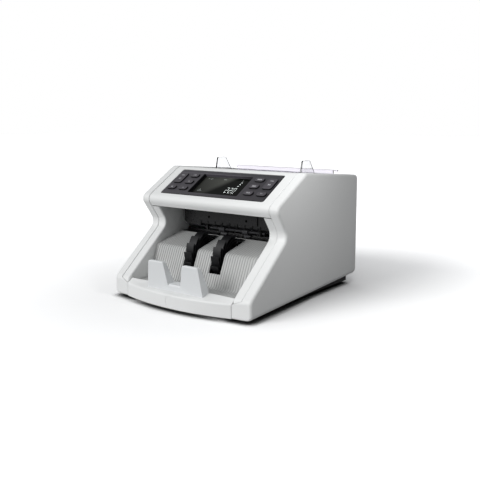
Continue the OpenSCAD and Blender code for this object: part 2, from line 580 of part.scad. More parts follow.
module cover_screws() {
  for (s = [-1, 1]) for (z = [30, 156]) translate([s*98, 0, z]) rotate([90, 0, 0]) difference() {
    union() {
      translate([0, 0, -145.2]) cylinder(r=3.2, h=1.6);
      translate([0, 0, -144]) cylinder(r=1.5, h=12);
    }
    translate([-0.4, -2.2, -146]) cube([0.8, 4.4, 1.6]);
    translate([-2.2, -0.4, -146]) cube([4.4, 0.8, 1.6]);
  }
}

color(c_black) translate([0, 0, 4]) base_tray();
color(c_rubber) rubber_feet();
color(c_white) mirror([1, 0, 0]) side_cover();  // side_cover_left
color(c_white) side_cover();  // side_cover_right
color(c_white) mirror([1, 0, 0]) cheek_and_wall();  // cheek_left
color(c_white) cheek_and_wall();  // cheek_right
color(c_white) top_cover();
color(c_white) rear_cover();
color(c_white) rear_door();
color(c_white) front_lip();
color(c_grey) stacker_stop();
color(c_grey) stacker_ramp();
color(c_dark) control_panel();
color(c_black) display_window();
color(c_pcb) panel_board();
color(c_dark) key(-1, 1);  // key_l1
color(c_dark) key(-1, 2);  // key_l2
color(c_dark) key(-1, 3);  // key_l3
color(c_dark) key(-1, 4);  // key_l4
color(c_dark) key(-1, 5);  // key_l5
color(c_dark) key(1, 1);  // key_r1
color(c_dark) key(1, 2);  // key_r2
color(c_dark) key(1, 3);  // key_r3
color(c_dark) key(1, 4);  // key_r4
color(c_dark) key(1, 5);  // key_r5
color(c_dark) hopper_floor();
color(c_grey) hopper_frame();
color(c_clear) rear_plate();
color(c_clear) mirror([1, 0, 0]) guide_fin();  // guide_fin_left
color(c_clear) guide_fin();  // guide_fin_right
color(c_black) guide_carriage_left();
color(c_black) guide_carriage_right();
color(c_grey) guide_pinion();
color(c_rubber) pickup_shaft();
color(c_steel) feed_shaft();
color(c_rubber) feed_rollers();
color(c_rubber) retard_rollers();
color(c_steel) retard_bracket();
color(c_black) feed_gap_screw();
color(c_rubber) transport_shaft();
color(c_rubber) pinch_rollers();
color(c_steel) stacker_shaft();
color(c_black) stacker_wheels();
color(c_steel) main_motor();
color(c_steel) motor_pulley();
color(c_steel) stacker_motor();
color(c_steel) stacker_pulley();
color(c_rubber) drive_belts();
color(c_steel) chassis_plates();
color(c_steel) frame_spacers();
color([0.72, 0.58, 0.32]) shaft_bushes();
color(c_black) sensor_carrier();
color(c_black) lower_guide();
color(c_pcb) sensor_boards();
color(c_pcb) main_board();
color(c_pcb) power_supply();
color(c_black) mains_inlet();
color(c_black) power_rocker();
color(c_steel) data_ports();
color(c_steel) cover_screws();
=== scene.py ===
import math, json
import bpy, bmesh
from mathutils import Vector, Matrix, Quaternion


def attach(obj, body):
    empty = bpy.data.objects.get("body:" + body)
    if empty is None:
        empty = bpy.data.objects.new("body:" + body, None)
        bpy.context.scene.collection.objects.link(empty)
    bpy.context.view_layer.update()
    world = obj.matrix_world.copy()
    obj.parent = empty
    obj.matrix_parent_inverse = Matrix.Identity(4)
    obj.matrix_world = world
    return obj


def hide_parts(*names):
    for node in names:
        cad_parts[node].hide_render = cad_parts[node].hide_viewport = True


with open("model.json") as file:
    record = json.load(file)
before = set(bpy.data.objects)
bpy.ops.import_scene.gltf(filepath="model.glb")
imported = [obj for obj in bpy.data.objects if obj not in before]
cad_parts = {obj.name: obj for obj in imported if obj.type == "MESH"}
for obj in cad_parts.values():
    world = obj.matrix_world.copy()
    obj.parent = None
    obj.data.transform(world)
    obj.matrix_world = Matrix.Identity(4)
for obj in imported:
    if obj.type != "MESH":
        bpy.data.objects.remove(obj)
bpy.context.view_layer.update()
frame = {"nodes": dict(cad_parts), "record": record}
scene = bpy.context.scene
nodes = frame["nodes"]
S = 0.001

# ------------------------------------------------------------------ camera
cam_data = bpy.data.cameras.new("camera")
cam_data.lens = 50.243
cam_data.sensor_width = 36.0
cam_data.clip_start = 0.02
cam = bpy.data.objects.new("camera", cam_data)
scene.collection.objects.link(cam)
cam.location = (0.60755, -0.78450, 0.25945)
cam.rotation_mode = "QUATERNION"
cam.rotation_quaternion = Vector((0.59784, -0.78106, 0.18035)).to_track_quat("Z", "Y")
scene.camera = cam


# ------------------------------------------------------------------ materials
def new_mat(name):
    m = bpy.data.materials.new(name)
    m.use_nodes = True
    nt = m.node_tree
    nt.nodes.clear()
    out = nt.nodes.new("ShaderNodeOutputMaterial")
    b = nt.nodes.new("ShaderNodeBsdfPrincipled")
    nt.links.new(b.outputs[0], out.inputs[0])
    return m, nt, b


def node(nt, kind, **vals):
    n = nt.nodes.new("ShaderNode" + kind)
    for k, v in vals.items():
        if k in n.inputs:
            n.inputs[k].default_value = v
        else:
            setattr(n, k, v)
    return n


def noise(nt, coord, scale, detail=2.0, rough=0.5, dist=0.0):
    n = node(nt, "TexNoise")
    n.inputs["Scale"].default_value = scale
    n.inputs["Detail"].default_value = detail
    n.inputs["Roughness"].default_value = rough
    n.inputs["Distortion"].default_value = dist
    nt.links.new(coord, n.inputs["Vector"])
    return n.outputs["Fac"]


def remap(nt, src, a, b, lo, hi):
    n = node(nt, "MapRange")
    n.inputs["From Min"].default_value = a
    n.inputs["From Max"].default_value = b
    n.inputs["To Min"].default_value = lo
    n.inputs["To Max"].default_value = hi
    nt.links.new(src, n.inputs["Value"])
    return n.outputs["Result"]


def shade(nt, src, c0, c1, p0=0.0, p1=1.0):
    n = node(nt, "ValToRGB")
    n.color_ramp.elements[0].color = (*c0, 1)
    n.color_ramp.elements[1].color = (*c1, 1)
    n.color_ramp.elements[0].position = p0
    n.color_ramp.elements[1].position = p1
    nt.links.new(src, n.inputs[0])
    return n.outputs[0]


def bump(nt, height, strength, distance, prev=None):
    n = node(nt, "Bump")
    n.inputs["Strength"].default_value = strength
    n.inputs["Distance"].default_value = distance
    nt.links.new(height, n.inputs["Height"])
    if prev is not None:
        nt.links.new(prev, n.inputs["Normal"])
    return n.outputs[0]


def plastic(name, color, rough=0.42, grain=2600.0, grain_depth=0.00003, grain_strength=0.25, tone=0.03, spec=0.45,
            coat=0.0, wave=0.0006, rough_var=0.05):
    """Moulded plastic: fine spark-eroded grain, slow tone changes, and a very slight unevenness of the face."""
    m, nt, b = new_mat(name)
    co = node(nt, "TexCoord").outputs["Object"]
    slow = noise(nt, co, 14.0, 3.0, 0.55)
    fine = noise(nt, co, 420.0, 3.0, 0.6)
    c0 = tuple(c * (1 - tone) for c in color)
    c1 = tuple(min(1.0, c * (1 + tone)) for c in color)
    mixed = node(nt, "Math", operation="MULTIPLY_ADD")
    nt.links.new(fine, mixed.inputs[0])
    mixed.inputs[1].default_value = 0.35
    nt.links.new(slow, mixed.inputs[2])
    nt.links.new(shade(nt, mixed.outputs[0], c0, c1, 0.35, 1.0), b.inputs["Base Color"])
    nt.links.new(remap(nt, fine, 0.3, 0.7, rough - rough_var, rough + rough_var), b.inputs["Roughness"])
    b.inputs["Specular IOR Level"].default_value = spec
    if coat:
        b.inputs["Coat Weight"].default_value = coat
        b.inputs["Coat Roughness"].default_value = 0.18
    g = noise(nt, co, grain, 2.0, 0.6)
    n1 = bump(nt, g, grain_strength, grain_depth)
    if wave:
        n1 = bump(nt, noise(nt, co, 22.0, 1.0, 0.4), 0.12, wave, n1)
    nt.links.new(n1, b.inputs["Normal"])
    return m


def rubber(name, color, rough=0.6, lines=0.0, spec=0.35):
    m, nt, b = new_mat(name)
    co = node(nt, "TexCoord").outputs["Object"]
    fine = noise(nt, co, 900.0, 4.0, 0.65)
    nt.links.new(shade(nt, fine, tuple(c * 0.75 for c in color), tuple(c * 1.3 for c in color), 0.3, 0.75), b.inputs["Base Color"])
    nt.links.new(remap(nt, noise(nt, co, 60.0, 3.0), 0.3, 0.7, rough - 0.08, rough + 0.08), b.inputs["Roughness"])
    b.inputs["Specular IOR Level"].default_value = spec
    n1 = bump(nt, fine, 0.3, 0.00004)
    if lines:
        w = node(nt, "TexWave", wave_type="BANDS", bands_direction="X")
        w.inputs["Scale"].default_value = lines
        w.inputs["Distortion"].default_value = 0.0
        nt.links.new(co, w.inputs["Vector"])
        n1 = bump(nt, w.outputs["Fac"], 0.5, 0.0002, n1)
    nt.links.new(n1, b.inputs["Normal"])
    return m


def metal(name, color, rough=0.3, aniso=0.4, brush="X", depth=0.00001):
    m, nt, b = new_mat(name)
    co = node(nt, "TexCoord").outputs["Object"]
    mp = node(nt, "Mapping")
    nt.links.new(co, mp.inputs["Vector"])
    mp.inputs["Scale"].default_value = {"X": (18, 900, 900), "Y": (900, 18, 900), "Z": (900, 900, 18)}[brush]
    streak = noise(nt, mp.outputs[0], 1.0, 3.0, 0.6)
    slow = noise(nt, co, 30.0, 3.0)
    nt.links.new(shade(nt, slow, tuple(c * 0.9 for c in color), color, 0.3, 0.8), b.inputs["Base Color"])
    b.inputs["Metallic"].default_value = 1.0
    nt.links.new(remap(nt, streak, 0.3, 0.7, rough - 0.07, rough + 0.09), b.inputs["Roughness"])
    b.inputs["Anisotropic"].default_value = aniso
    nt.links.new(bump(nt, streak, 0.35, depth), b.inputs["Normal"])
    return m


def clear(name, color, rough=0.03, ior=1.49, tintvar=0.02):
    """Clear acrylic: faint cloudiness and hairline polish marks."""
    m, nt, b = new_mat(name)
    co = node(nt, "TexCoord").outputs["Object"]
    slow = noise(nt, co, 20.0, 3.0)
    nt.links.new(shade(nt, slow, tuple(c * (1 - tintvar) for c in color), color, 0.3, 0.8), b.inputs["Base Color"])
    b.inputs["Transmission Weight"].default_value = 1.0
    b.inputs["IOR"].default_value = ior
    mp = node(nt, "Mapping")
    nt.links.new(co, mp.inputs["Vector"])
    mp.inputs["Scale"].default_value = (60, 60, 2200)
    hair = noise(nt, mp.outputs[0], 1.0, 2.0, 0.7)
    nt.links.new(remap(nt, hair, 0.45, 0.8, rough, rough + 0.09), b.inputs["Roughness"])
    nt.links.new(bump(nt, slow, 0.06, 0.0004), b.inputs["Normal"])
    return m


def board(name):
    """Circuit board: green mask with lighter tracks and pads."""
    m, nt, b = new_mat(name)
    co = node(nt, "TexCoord").outputs["Object"]
    v = node(nt, "TexVoronoi", distance="MANHATTAN", feature="F1")
    v.inputs["Scale"].default_value = 210.0
    nt.links.new(co, v.inputs["Vector"])
    t = remap(nt, v.outputs["Distance"], 0.42, 0.52, 0.0, 1.0)
    nt.links.new(shade(nt, t, (0.018, 0.12, 0.055), (0.035, 0.20, 0.09)), b.inputs["Base Color"])
    nt.links.new(remap(nt, t, 0, 1, 0.32, 0.42), b.inputs["Roughness"])
    nt.links.new(bump(nt, t, 0.4, 0.00004), b.inputs["Normal"])
    return m


W_DIM, W_LIT, SUN = 0.030, 0.62, 1.68

M = {}
M["housing"] = plastic("housing_white", (0.795, 0.803, 0.798), rough=0.44, tone=0.012, spec=0.42, grain_strength=0.22)
# near-black base plastic; on the base tray it also serves as painted shade, a dark band standing in for the shadow gap
# under the side covers
M["base_black"] = plastic("base_black", (0.022, 0.022, 0.024), rough=0.5, tone=0.12)
M["foot_rubber"] = rubber("foot_rubber", (0.03, 0.03, 0.03), 0.75)
M["stop_plastic"] = plastic("stop_plastic", (0.735, 0.752, 0.762), rough=0.40, tone=0.012, grain_strength=0.18)
M["ramp_plastic"] = plastic("ramp_plastic", (0.50, 0.507, 0.500), rough=0.42, tone=0.02, grain_strength=0.2)
M["key_charcoal"] = plastic("key_charcoal", (0.054, 0.049, 0.058), rough=0.42, tone=0.05, spec=0.4, grain_strength=0.25)
# painted shade: darker colour on the ramp's rib flanks, standing in for the shade between the ribs
M["ramp_rib_shade"] = plastic("ramp_rib_shade", (0.36, 0.363, 0.36), rough=0.5, tone=0.04, grain_strength=0.2)
# painted shade: near-black colour for the panel rim, the display recess's wall facing +X and the key side walls, where
# shade falls
M["panel_painted_shade"] = plastic("panel_painted_shade", (0.007, 0.007, 0.008), rough=0.40, tone=0.08, spec=0.25, grain_strength=0.2)
M["hopper_grey"] = plastic("hopper_grey", (0.16, 0.16, 0.17), rough=0.45, tone=0.06)
M["black_plastic"] = plastic("black_plastic", (0.018, 0.018, 0.020), rough=0.42, tone=0.10)
M["mech_black"] = plastic("mech_black", (0.010, 0.010, 0.011), rough=0.30, tone=0.15, spec=0.5, grain_strength=0.3)
M["nylon"] = plastic("nylon", (0.80, 0.78, 0.72), rough=0.45, tone=0.03)
M["roller_rubber"] = rubber("roller_rubber", (0.05, 0.05, 0.055), 0.62, lines=160.0)
M["wheel_rubber"] = rubber("wheel_rubber", (0.006, 0.006, 0.007), 0.42, spec=0.30)
M["belt_rubber"] = rubber("belt_rubber", (0.02, 0.02, 0.02), 0.7)
M["steel"] = metal("zinc_steel", (0.60, 0.61, 0.63), 0.32)
M["alu"] = metal("turned_alu", (0.74, 0.745, 0.75), 0.28, 0.5)
M["bush_bronze"] = metal("sinter_bronze", (0.55, 0.38, 0.17), 0.42, 0.1)
M["clear"] = clear("clear_acrylic", (0.865, 0.867, 0.875))
M["clear_tint"] = clear("tinted_acrylic", (0.86, 0.83, 0.90))
M["circuit_board"] = board("circuit_board")


def panel_mat():
    """Charcoal membrane with painted shade: a near-black border along its right and lower edges."""
    m = plastic("panel_charcoal", (0.050, 0.046, 0.054), rough=0.46, tone=0.05, spec=0.35, grain_strength=0.35)
    nt = m.node_tree
    b = next(n for n in nt.nodes if n.bl_idname == "ShaderNodeBsdfPrincipled")
    co = node(nt, "TexCoord").outputs["Object"]
    sep = node(nt, "SeparateXYZ")
    nt.links.new(co, sep.inputs[0])
    along = node(nt, "VectorMath", operation="DOT_PRODUCT")
    nt.links.new(co, along.inputs[0])
    along.inputs[1].default_value = (0.0, math.cos(math.radians(30.5)), math.sin(math.radians(30.5)))
    low = (-11.0 * math.cos(math.radians(30.5)) + 179.5 * math.sin(math.radians(30.5)) - 61.35) * S
    # painted shade: the base colour turns near-black along the panel's right and lower edges
    m1 = remap(nt, sep.outputs["X"], 0.0918, 0.0924, 0.0, 1.0)
    m2 = remap(nt, along.outputs["Value"], low + 0.0013, low + 0.0019, 1.0, 0.0)
    painted_shade_mask = node(nt, "Math", operation="MAXIMUM")
    nt.links.new(m1, painted_shade_mask.inputs[0])
    nt.links.new(m2, painted_shade_mask.inputs[1])
    mix = node(nt, "Mix", data_type="RGBA")
    nt.links.new(painted_shade_mask.outputs[0], mix.inputs["Factor"])
    src = b.inputs["Base Color"].links[0].from_socket
    tone = node(nt, "VectorMath", operation="SCALE")
    nt.links.new(src, tone.inputs[0])
    # tone: painted sheen and shade, the colour darkening across the panel from left to right, and a painted highlight
    # lighter inside the head of the display recess
    across = remap(nt, sep.outputs["X"], -0.09, 0.09, 1.04, 0.58)
    head = (-11.0 * math.cos(math.radians(30.5)) + 179.5 * math.sin(math.radians(30.5)) - 6.50) * S
    inside = node(nt, "Math", operation="MULTIPLY")
    nt.links.new(remap(nt, along.outputs["Value"], head - 0.0008, head - 0.0003, 0.0, 1.0), inside.inputs[0])
    nt.links.new(remap(nt, along.outputs["Value"], head + 0.0003, head + 0.0008, 1.0, 0.0), inside.inputs[1])
    mid = node(nt, "Math", operation="MULTIPLY")
    nt.links.new(inside.outputs[0], mid.inputs[0])
    nt.links.new(remap(nt, sep.outputs["X"], 0.020, 0.046, 1.0, 0.0), mid.inputs[1])
    painted_light_scale = node(nt, "Math", operation="MULTIPLY_ADD")
    nt.links.new(mid.outputs[0], painted_light_scale.inputs[0])
    painted_light_scale.inputs[1].default_value = 0.9
    nt.links.new(across, painted_light_scale.inputs[2])
    nt.links.new(painted_light_scale.outputs[0], tone.inputs["Scale"])
    nt.links.new(tone.outputs[0], mix.inputs[6])
    mix.inputs[7].default_value = (0.006, 0.006, 0.007, 1)
    nt.links.new(mix.outputs[2], b.inputs["Base Color"])
    return m


def legend_mat():
    m, nt, b = new_mat("key_print")
    co = node(nt, "TexCoord").outputs["Object"]
    n = noise(nt, co, 1500.0, 2.0)
    nt.links.new(shade(nt, n, (0.44, 0.44, 0.46), (0.56, 0.56, 0.58), 0.3, 0.8), b.inputs["Base Color"])
    nt.links.new(remap(nt, n, 0.3, 0.7, 0.45, 0.6), b.inputs["Roughness"])
    return m


def digit_mat():
    m, nt, b = new_mat("display_digits")
    co = node(nt, "TexCoord").outputs["Object"]
    n = noise(nt, co, 900.0, 1.0)
    nt.links.new(shade(nt, n, (0.70, 0.74, 0.72), (0.86, 0.90, 0.88), 0.3, 0.8), b.inputs["Base Color"])
    b.inputs["Roughness"].default_value = 0.4
    b.inputs["Emission Color"].default_value = (0.93, 1.0, 0.97, 1)
    b.inputs["Emission Strength"].default_value = 0.95
    return m


def faint_mat():
    m, nt, b = new_mat("display_marks")
    co = node(nt, "TexCoord").outputs["Object"]
    n = noise(nt, co, 900.0, 1.0)
    nt.links.new(shade(nt, n, (0.13, 0.14, 0.13), (0.18, 0.19, 0.18), 0.3, 0.8), b.inputs["Base Color"])
    b.inputs["Roughness"].default_value = 0.3
    b.inputs["Emission Color"].default_value = (0.9, 1.0, 0.95, 1)
    b.inputs["Emission Strength"].default_value = 0.05
    return m


def glass_mat():
    """Display window: glossy near-black face with a painted reflection, a soft lighter field towards its upper left."""
    m, nt, b = new_mat("display_glass")
    co = node(nt, "TexCoord").outputs["Object"]
    sep = node(nt, "SeparateXYZ")
    nt.links.new(co, sep.inputs[0])
    # diagonal coordinates, in metres: across and down the slope; across and up it
    wob = noise(nt, co, 26.0, 2.0)
    def diag(k, w):
        a = node(nt, "Math", operation="MULTIPLY_ADD")
        nt.links.new(sep.outputs["Y"], a.inputs[0])
        a.inputs[1].default_value = k
        nt.links.new(sep.outputs["X"], a.inputs[2])
        w2 = node(nt, "Math", operation="MULTIPLY_ADD")
        nt.links.new(wob, w2.inputs[0])
        w2.inputs[1].default_value = w
        nt.links.new(a.outputs[0], w2.inputs[2])
        return w2.outputs[0]
    edge = remap(nt, diag(-1.0, 0.008), 0.022, 0.040, 1.0, 0.0)
    edge.node.interpolation_type = "SMOOTHSTEP"
    fade = remap(nt, diag(0.75, 0.006), -0.075, -0.008, 0.16, 1.0)
    painted_reflection = node(nt, "Math", operation="MULTIPLY")
    nt.links.new(edge, painted_reflection.inputs[0])
    nt.links.new(fade, painted_reflection.inputs[1])
    # black printed margin at the left, where the painted reflection stops
    inner = node(nt, "Math", operation="MULTIPLY")
    nt.links.new(painted_reflection.outputs[0], inner.inputs[0])
    nt.links.new(remap(nt, sep.outputs["X"], -0.0440, -0.0433, 0.0, 1.0), inner.inputs[1])
    col = shade(nt, inner.outputs[0], (0.0030, 0.0036, 0.0027), (0.072, 0.074, 0.066))
    nt.links.new(col, b.inputs["Base Color"])
    nt.links.new(remap(nt, noise(nt, co, 80.0, 2.0), 0.3, 0.7, 0.10, 0.16), b.inputs["Roughness"])
    b.inputs["Specular IOR Level"].default_value = 0.04
    return m


M["panel_charcoal"] = panel_mat()
M["key_print"] = legend_mat()
M["display_digits"] = digit_mat()
M["display_marks"] = faint_mat()
M["display_glass"] = glass_mat()

slot_of = {r["node"]: r["material_slot"] for r in frame["record"]["subparts"]}


# ------------------------------------------------------------------ profile of the housing (mm, side view)
HW, SX, MX, CX, VX = 125.0, 110.0, 95.5, 109.4, 110.4
WALL = 2.6
SLOPE = math.radians(30.5)
RADII = [6, 7, 11, 10, 13, 11, 3]


def bow(x): return -147.5 + 14 * (min(abs(x), 97) / 97) ** 2 + 0.1 * max(0, abs(x) - 97)
def slant_z(y): return 102.4 + 0.8525 * (y + 46.32)
def slant_y(z): return -46.32 + (z - 102.4) / 0.8525


def corners(x, e1=0.0):
    return [(147.5, 17 + e1), (145, 172.4), (-3.6, 184.5), (-76.6, 141.6), (-48.06, 100.9),
            (bow(x), slant_z(bow(x))), (bow(x), 4 + e1)]


def sub(a, b): return (a[0] - b[0], a[1] - b[1])
def unit(v):
    l = math.hypot(*v)
    return (v[0] / l, v[1] / l)
def left(a, b):
    u = unit(sub(b, a))
    return (-u[1], u[0])


def inset(c, d):
    n = len(c)
    out = []
    for i in range(n):
        a = left(c[i - 1], c[i])
        b = left(c[i], c[(i + 1) % n])
        k = 1 + a[0] * b[0] + a[1] * b[1]
        out.append((c[i][0] + d * (a[0] + b[0]) / k, c[i][1] + d * (a[1] + b[1]) / k))
    return out


def turn(c, i):
    n = len(c)
    a = sub(c[i], c[i - 1])
    b = sub(c[(i + 1) % n], c[i])
    return a[0] * b[1] - a[1] * b[0]


def rounded(c, r, n=8):
    """Polygon c with corner radii r; every corner gives n+1 points, so rings of one shape match point for point."""
    m = len(c)
    out = []
    for i in range(m):
        p = c[i]
        a = unit(sub(c[i - 1], p))
        b = unit(sub(c[(i + 1) % m], p))
        h = math.acos(max(-1, min(1, a[0] * b[0] + a[1] * b[1]))) / 2
        if r[i] <= 0 or h > math.pi / 2 - 1e-4:
            out += [p] * 1
            continue
        t = r[i] / math.tan(h)
        s = unit((a[0] + b[0], a[1] + b[1]))
        q = (p[0] + s[0] * r[i] / math.sin(h), p[1] + s[1] * r[i] / math.sin(h))
        v = (p[0] + a[0] * t - q[0], p[1] + a[1] * t - q[1])
        w = (1 if turn(c, i) > 0 else -1) * (math.pi - 2 * h)
        for k in range(n + 1):
            g = w * k / n
            out.append((q[0] + v[0] * math.cos(g) - v[1] * math.sin(g), q[1] + v[0] * math.sin(g) + v[1] * math.cos(g)))
    return out


def ring_r(c, d):
    return [max(0.4, RADII[i] - d if turn(c, i) > 0 else RADII[i] + d) for i in range(len(c))]


def outline(x, d, e1=0.0, n=14):
    c = corners(x, e1)
    return rounded(inset(c, d), ring_r(c, d), n)


def rim(r, n=4):
    """Quarter round at a shut line: steps (along, inward) from the joint face to the full outline."""
    return [(r * (1 - math.cos(math.pi * k / (2 * n))), r * (1 - math.sin(math.pi * k / (2 * n)))) for k in range(n + 1)]


def line_at_z(a, b, z):
    t = (z - a[1]) / (b[1] - a[1])
    return (a[0] + t * (b[0] - a[0]), z)
def line_at_y(a, b, y):
    t = (y - a[0]) / (b[0] - a[0])
    return (y, a[1] + t * (b[1] - a[1]))


# ------------------------------------------------------------------ mesh helpers
def link(o):
    scene.collection.objects.link(o)
    return o


def solid(name, verts, faces):
    me = bpy.data.meshes.new(name)
    me.from_pydata([(x * S, y * S, z * S) for x, y, z in verts], [], faces)
    bm = bmesh.new()
    bm.from_mesh(me)
    bmesh.ops.remove_doubles(bm, verts=bm.verts, dist=2e-7)
    bmesh.ops.recalc_face_normals(bm, faces=bm.faces)
    bm.to_mesh(me)
    bm.free()
    return link(bpy.data.objects.new(name, me))


def loft(name, rings, close=False):
    n = len(rings[0])
    verts = [p for r in rings for p in r]
    faces = []
    for j in range(len(rings) - 1):
        for i in range(n):
            k = (i + 1) % n
            faces.append((j * n + i, (j + 1) * n + i, (j + 1) * n + k, j * n + k))
    if close:
        j = len(rings) - 1
        for i in range(n):
            k = (i + 1) % n
            faces.append((j * n + i, i, k, j * n + k))
    else:
        faces.append(tuple(range(n)))
        faces.append(tuple(range((len(rings) - 1) * n, len(rings) * n)))
    return solid(name, verts, faces)


def along_x(poly, x): return [(x, p[0], p[1]) for p in poly]
def prism_x(name, poly, x0, x1): return loft(name, [along_x(poly, x0), along_x(poly, x1)])
def prism_y(name, poly, y0, y1): return loft(name, [[(p[0], y0, p[1]) for p in poly], [(p[0], y1, p[1]) for p in poly]])
def prism_z(name, poly, z0, z1): return loft(name, [[(p[0], p[1], z0) for p in poly], [(p[0], p[1], z1) for p in poly]])
def box(name, a, b): return prism_z(name, [(a[0], a[1]), (b[0], a[1]), (b[0], b[1]), (a[0], b[1])], a[2], b[2])
def circle(r, n=64, c=(0, 0)): return [(c[0] + r * math.cos(2 * math.pi * k / n), c[1] + r * math.sin(2 * math.pi * k / n)) for k in range(n)]


def rr(w, h, r, n=8):
    """Rounded rectangle, centred."""
    r = max(0.02, min(r, w / 2 - 0.005, h / 2 - 0.005))
    return rounded([(w / 2, -h / 2), (w / 2, h / 2), (-w / 2, h / 2), (-w / 2, -h / 2)], [r] * 4, n)


PO = (-11.0, 179.5)
def pan(x, y, z):
    """Point of the control slope's frame: x across, y up the slope, z out of it."""
    return (x, PO[0] + y * math.cos(SLOPE) - z * math.sin(SLOPE), PO[1] + y * math.sin(SLOPE) + z * math.cos(SLOPE))


def prism_pan(name, poly, z0, z1, cx=0.0, cy=0.0):
    return loft(name, [[pan(p[0] + cx, p[1] + cy, z) for p in poly] for z in (z0, z1)])


def boolean(o, tools, op):
    for t in tools:
        m = o.modifiers.new("b", "BOOLEAN")
        m.object = t
        m.operation = op
        m.solver = "EXACT"
    dg = bpy.context.evaluated_depsgraph_get()
    dg.update()
    me = bpy.data.meshes.new_from_object(o.evaluated_get(dg))
    o.modifiers.clear()
    old = o.data
    o.data = me
    bpy.data.meshes.remove(old)
    for t in tools:
        d = t.data
        bpy.data.objects.remove(t)
        bpy.data.meshes.remove(d)
    return o


def cut(o, *tools): return boolean(o, tools, "DIFFERENCE")
def add(o, *tools): return boolean(o, tools, "UNION")
def meet(o, *tools): return boolean(o, tools, "INTERSECT")


def join(o, *others):
    """Closed shells kept as they are, in one mesh."""
    bm = bmesh.new()
    bm.from_mesh(o.data)
    for t in others:
        bm.from_mesh(t.data)
        d = t.data
        bpy.data.objects.remove(t)
        bpy.data.meshes.remove(d)
    bm.to_mesh(o.data)
    bm.free()
    return o


def pan_normal(v):
    return -v[1] * math.sin(SLOPE) + v[2] * math.cos(SLOPE)


def pan_place(v):
    """Slope-frame (across, up the slope, out) of a mesh point, mm."""
    y, z = v[1] / S - PO[0], v[2] / S - PO[1]
    return (v[0] / S, y * math.cos(SLOPE) + z * math.sin(SLOPE), -y * math.sin(SLOPE) + z * math.cos(SLOPE))


def finish(o, body, mat, replaces=(), bevel=0.0, angle=32.0, segs=2, limit=48.0, weighted=True, second=None, where=None):
    bm = bmesh.new()
    bm.from_mesh(o.data)
    bmesh.ops.remove_doubles(bm, verts=bm.verts, dist=1e-6)
    bmesh.ops.dissolve_degenerate(bm, edges=bm.edges, dist=1e-7)
    bmesh.ops.recalc_face_normals(bm, faces=bm.faces)
    th = math.radians(angle)
    for f in bm.faces:
        f.smooth = True
        f.material_index = 0
    for e in bm.edges:
        if len(e.link_faces) == 2:
            e.smooth = e.calc_face_angle(0.0) < th
    bm.to_mesh(o.data)
    bm.free()
    o.data.materials.clear()
    o.data.materials.append(mat)
    if second is not None:
        o.data.materials.append(second)
        for f in o.data.polygons:
            f.material_index = 1 if where(pan_place(f.center), f.normal) else 0
    if bevel:
        b = o.modifiers.new("edges", "BEVEL")
        b.width = bevel * S
        b.segments = segs
        b.limit_method = "ANGLE"
        b.angle_limit = math.radians(limit)
        b.use_clamp_overlap = True
        b.harden_normals = False
        b.miter_outer = "MITER_ARC"
    if weighted:
        w = o.modifiers.new("normals", "WEIGHTED_NORMAL")
        w.keep_sharp = True
        w.weight = 80
    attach(o, body)
    if replaces:
        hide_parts(*replaces)
    return o


def mirror(o, name):
    me = o.data.copy()
    me.name = name
    me.transform(Matrix.Scale(-1, 4, (1, 0, 0)))
    me.flip_normals()
    return link(bpy.data.objects.new(name, me))


# ------------------------------------------------------------------ side covers
def side_cover(name):
    N = 14
    rings = []
    pocket = lambda x: along_x(outline(118, WALL + 2.2, 2.5, N), x)
    rings.append(pocket(122.4))
    # tongue that closes the foot of the shut line
    rings.append(pocket(CX + 0.08))
    rings.append(along_x(outline(CX + 0.08, 1.25, 0, N), CX + 0.08))
    rings.append(along_x(outline(VX - 0.02, 1.25, 0, N), VX - 0.02))
    for dx, d in rim(0.9):
        rings.append(along_x(outline(VX + dx, d, 0, N), VX + dx))
    for x in (112, 114.5, 117):
        rings.append(along_x(outline(x, 0, 0, N), x))
    for k in range(0, 19):
        a = math.radians(90 * k / 18)
        x, d = 121 + 4 * math.sin(a), 4 * (1 - math.cos(a))
        e = max(0.0, 8 - math.sqrt(max(0.0, 64 - (x - 117) ** 2)) - d)
        rings.append(along_x(outline(min(x, 125), d, e, N), x))
    o = loft(name, rings)
    # outer corner of the foot
    def foot(x, d):
        c = [(-112, 4), (-112, 44), (slant_y(44), 44), (bow(x), slant_z(bow(x))), (bow(x), 4)]
        return along_x(rounded(inset(c, d), [0, 0, 0, 11 - d, 3 - d], 14), x)
    fr = [foot(95.65 + dx, d) for dx, d in rim(0.7)]
    fr += [foot(x, 0.0) for x in (97, 98.5, 100, 102, 104, 106, 108, 110)]
    fr += [foot(111.2, -0.01), foot(111.9, 0.3)]
    f = loft(name + "_foot", fr)
    f = meet(f, prism_y("t", [(90, 0), (120, 0), (120, cut_z(120)), (90, cut_z(90))], -200, -100))
    return add(o, f)


def cut_z(x): return 23.2 + 0.415 * (x - MX)


r = side_cover("side_skin_right")
l = mirror(r, "side_skin_left")
finish(r, "root", M["housing"], ["side_cover_right"])
finish(l, "root", M["housing"], ["side_cover_left"])


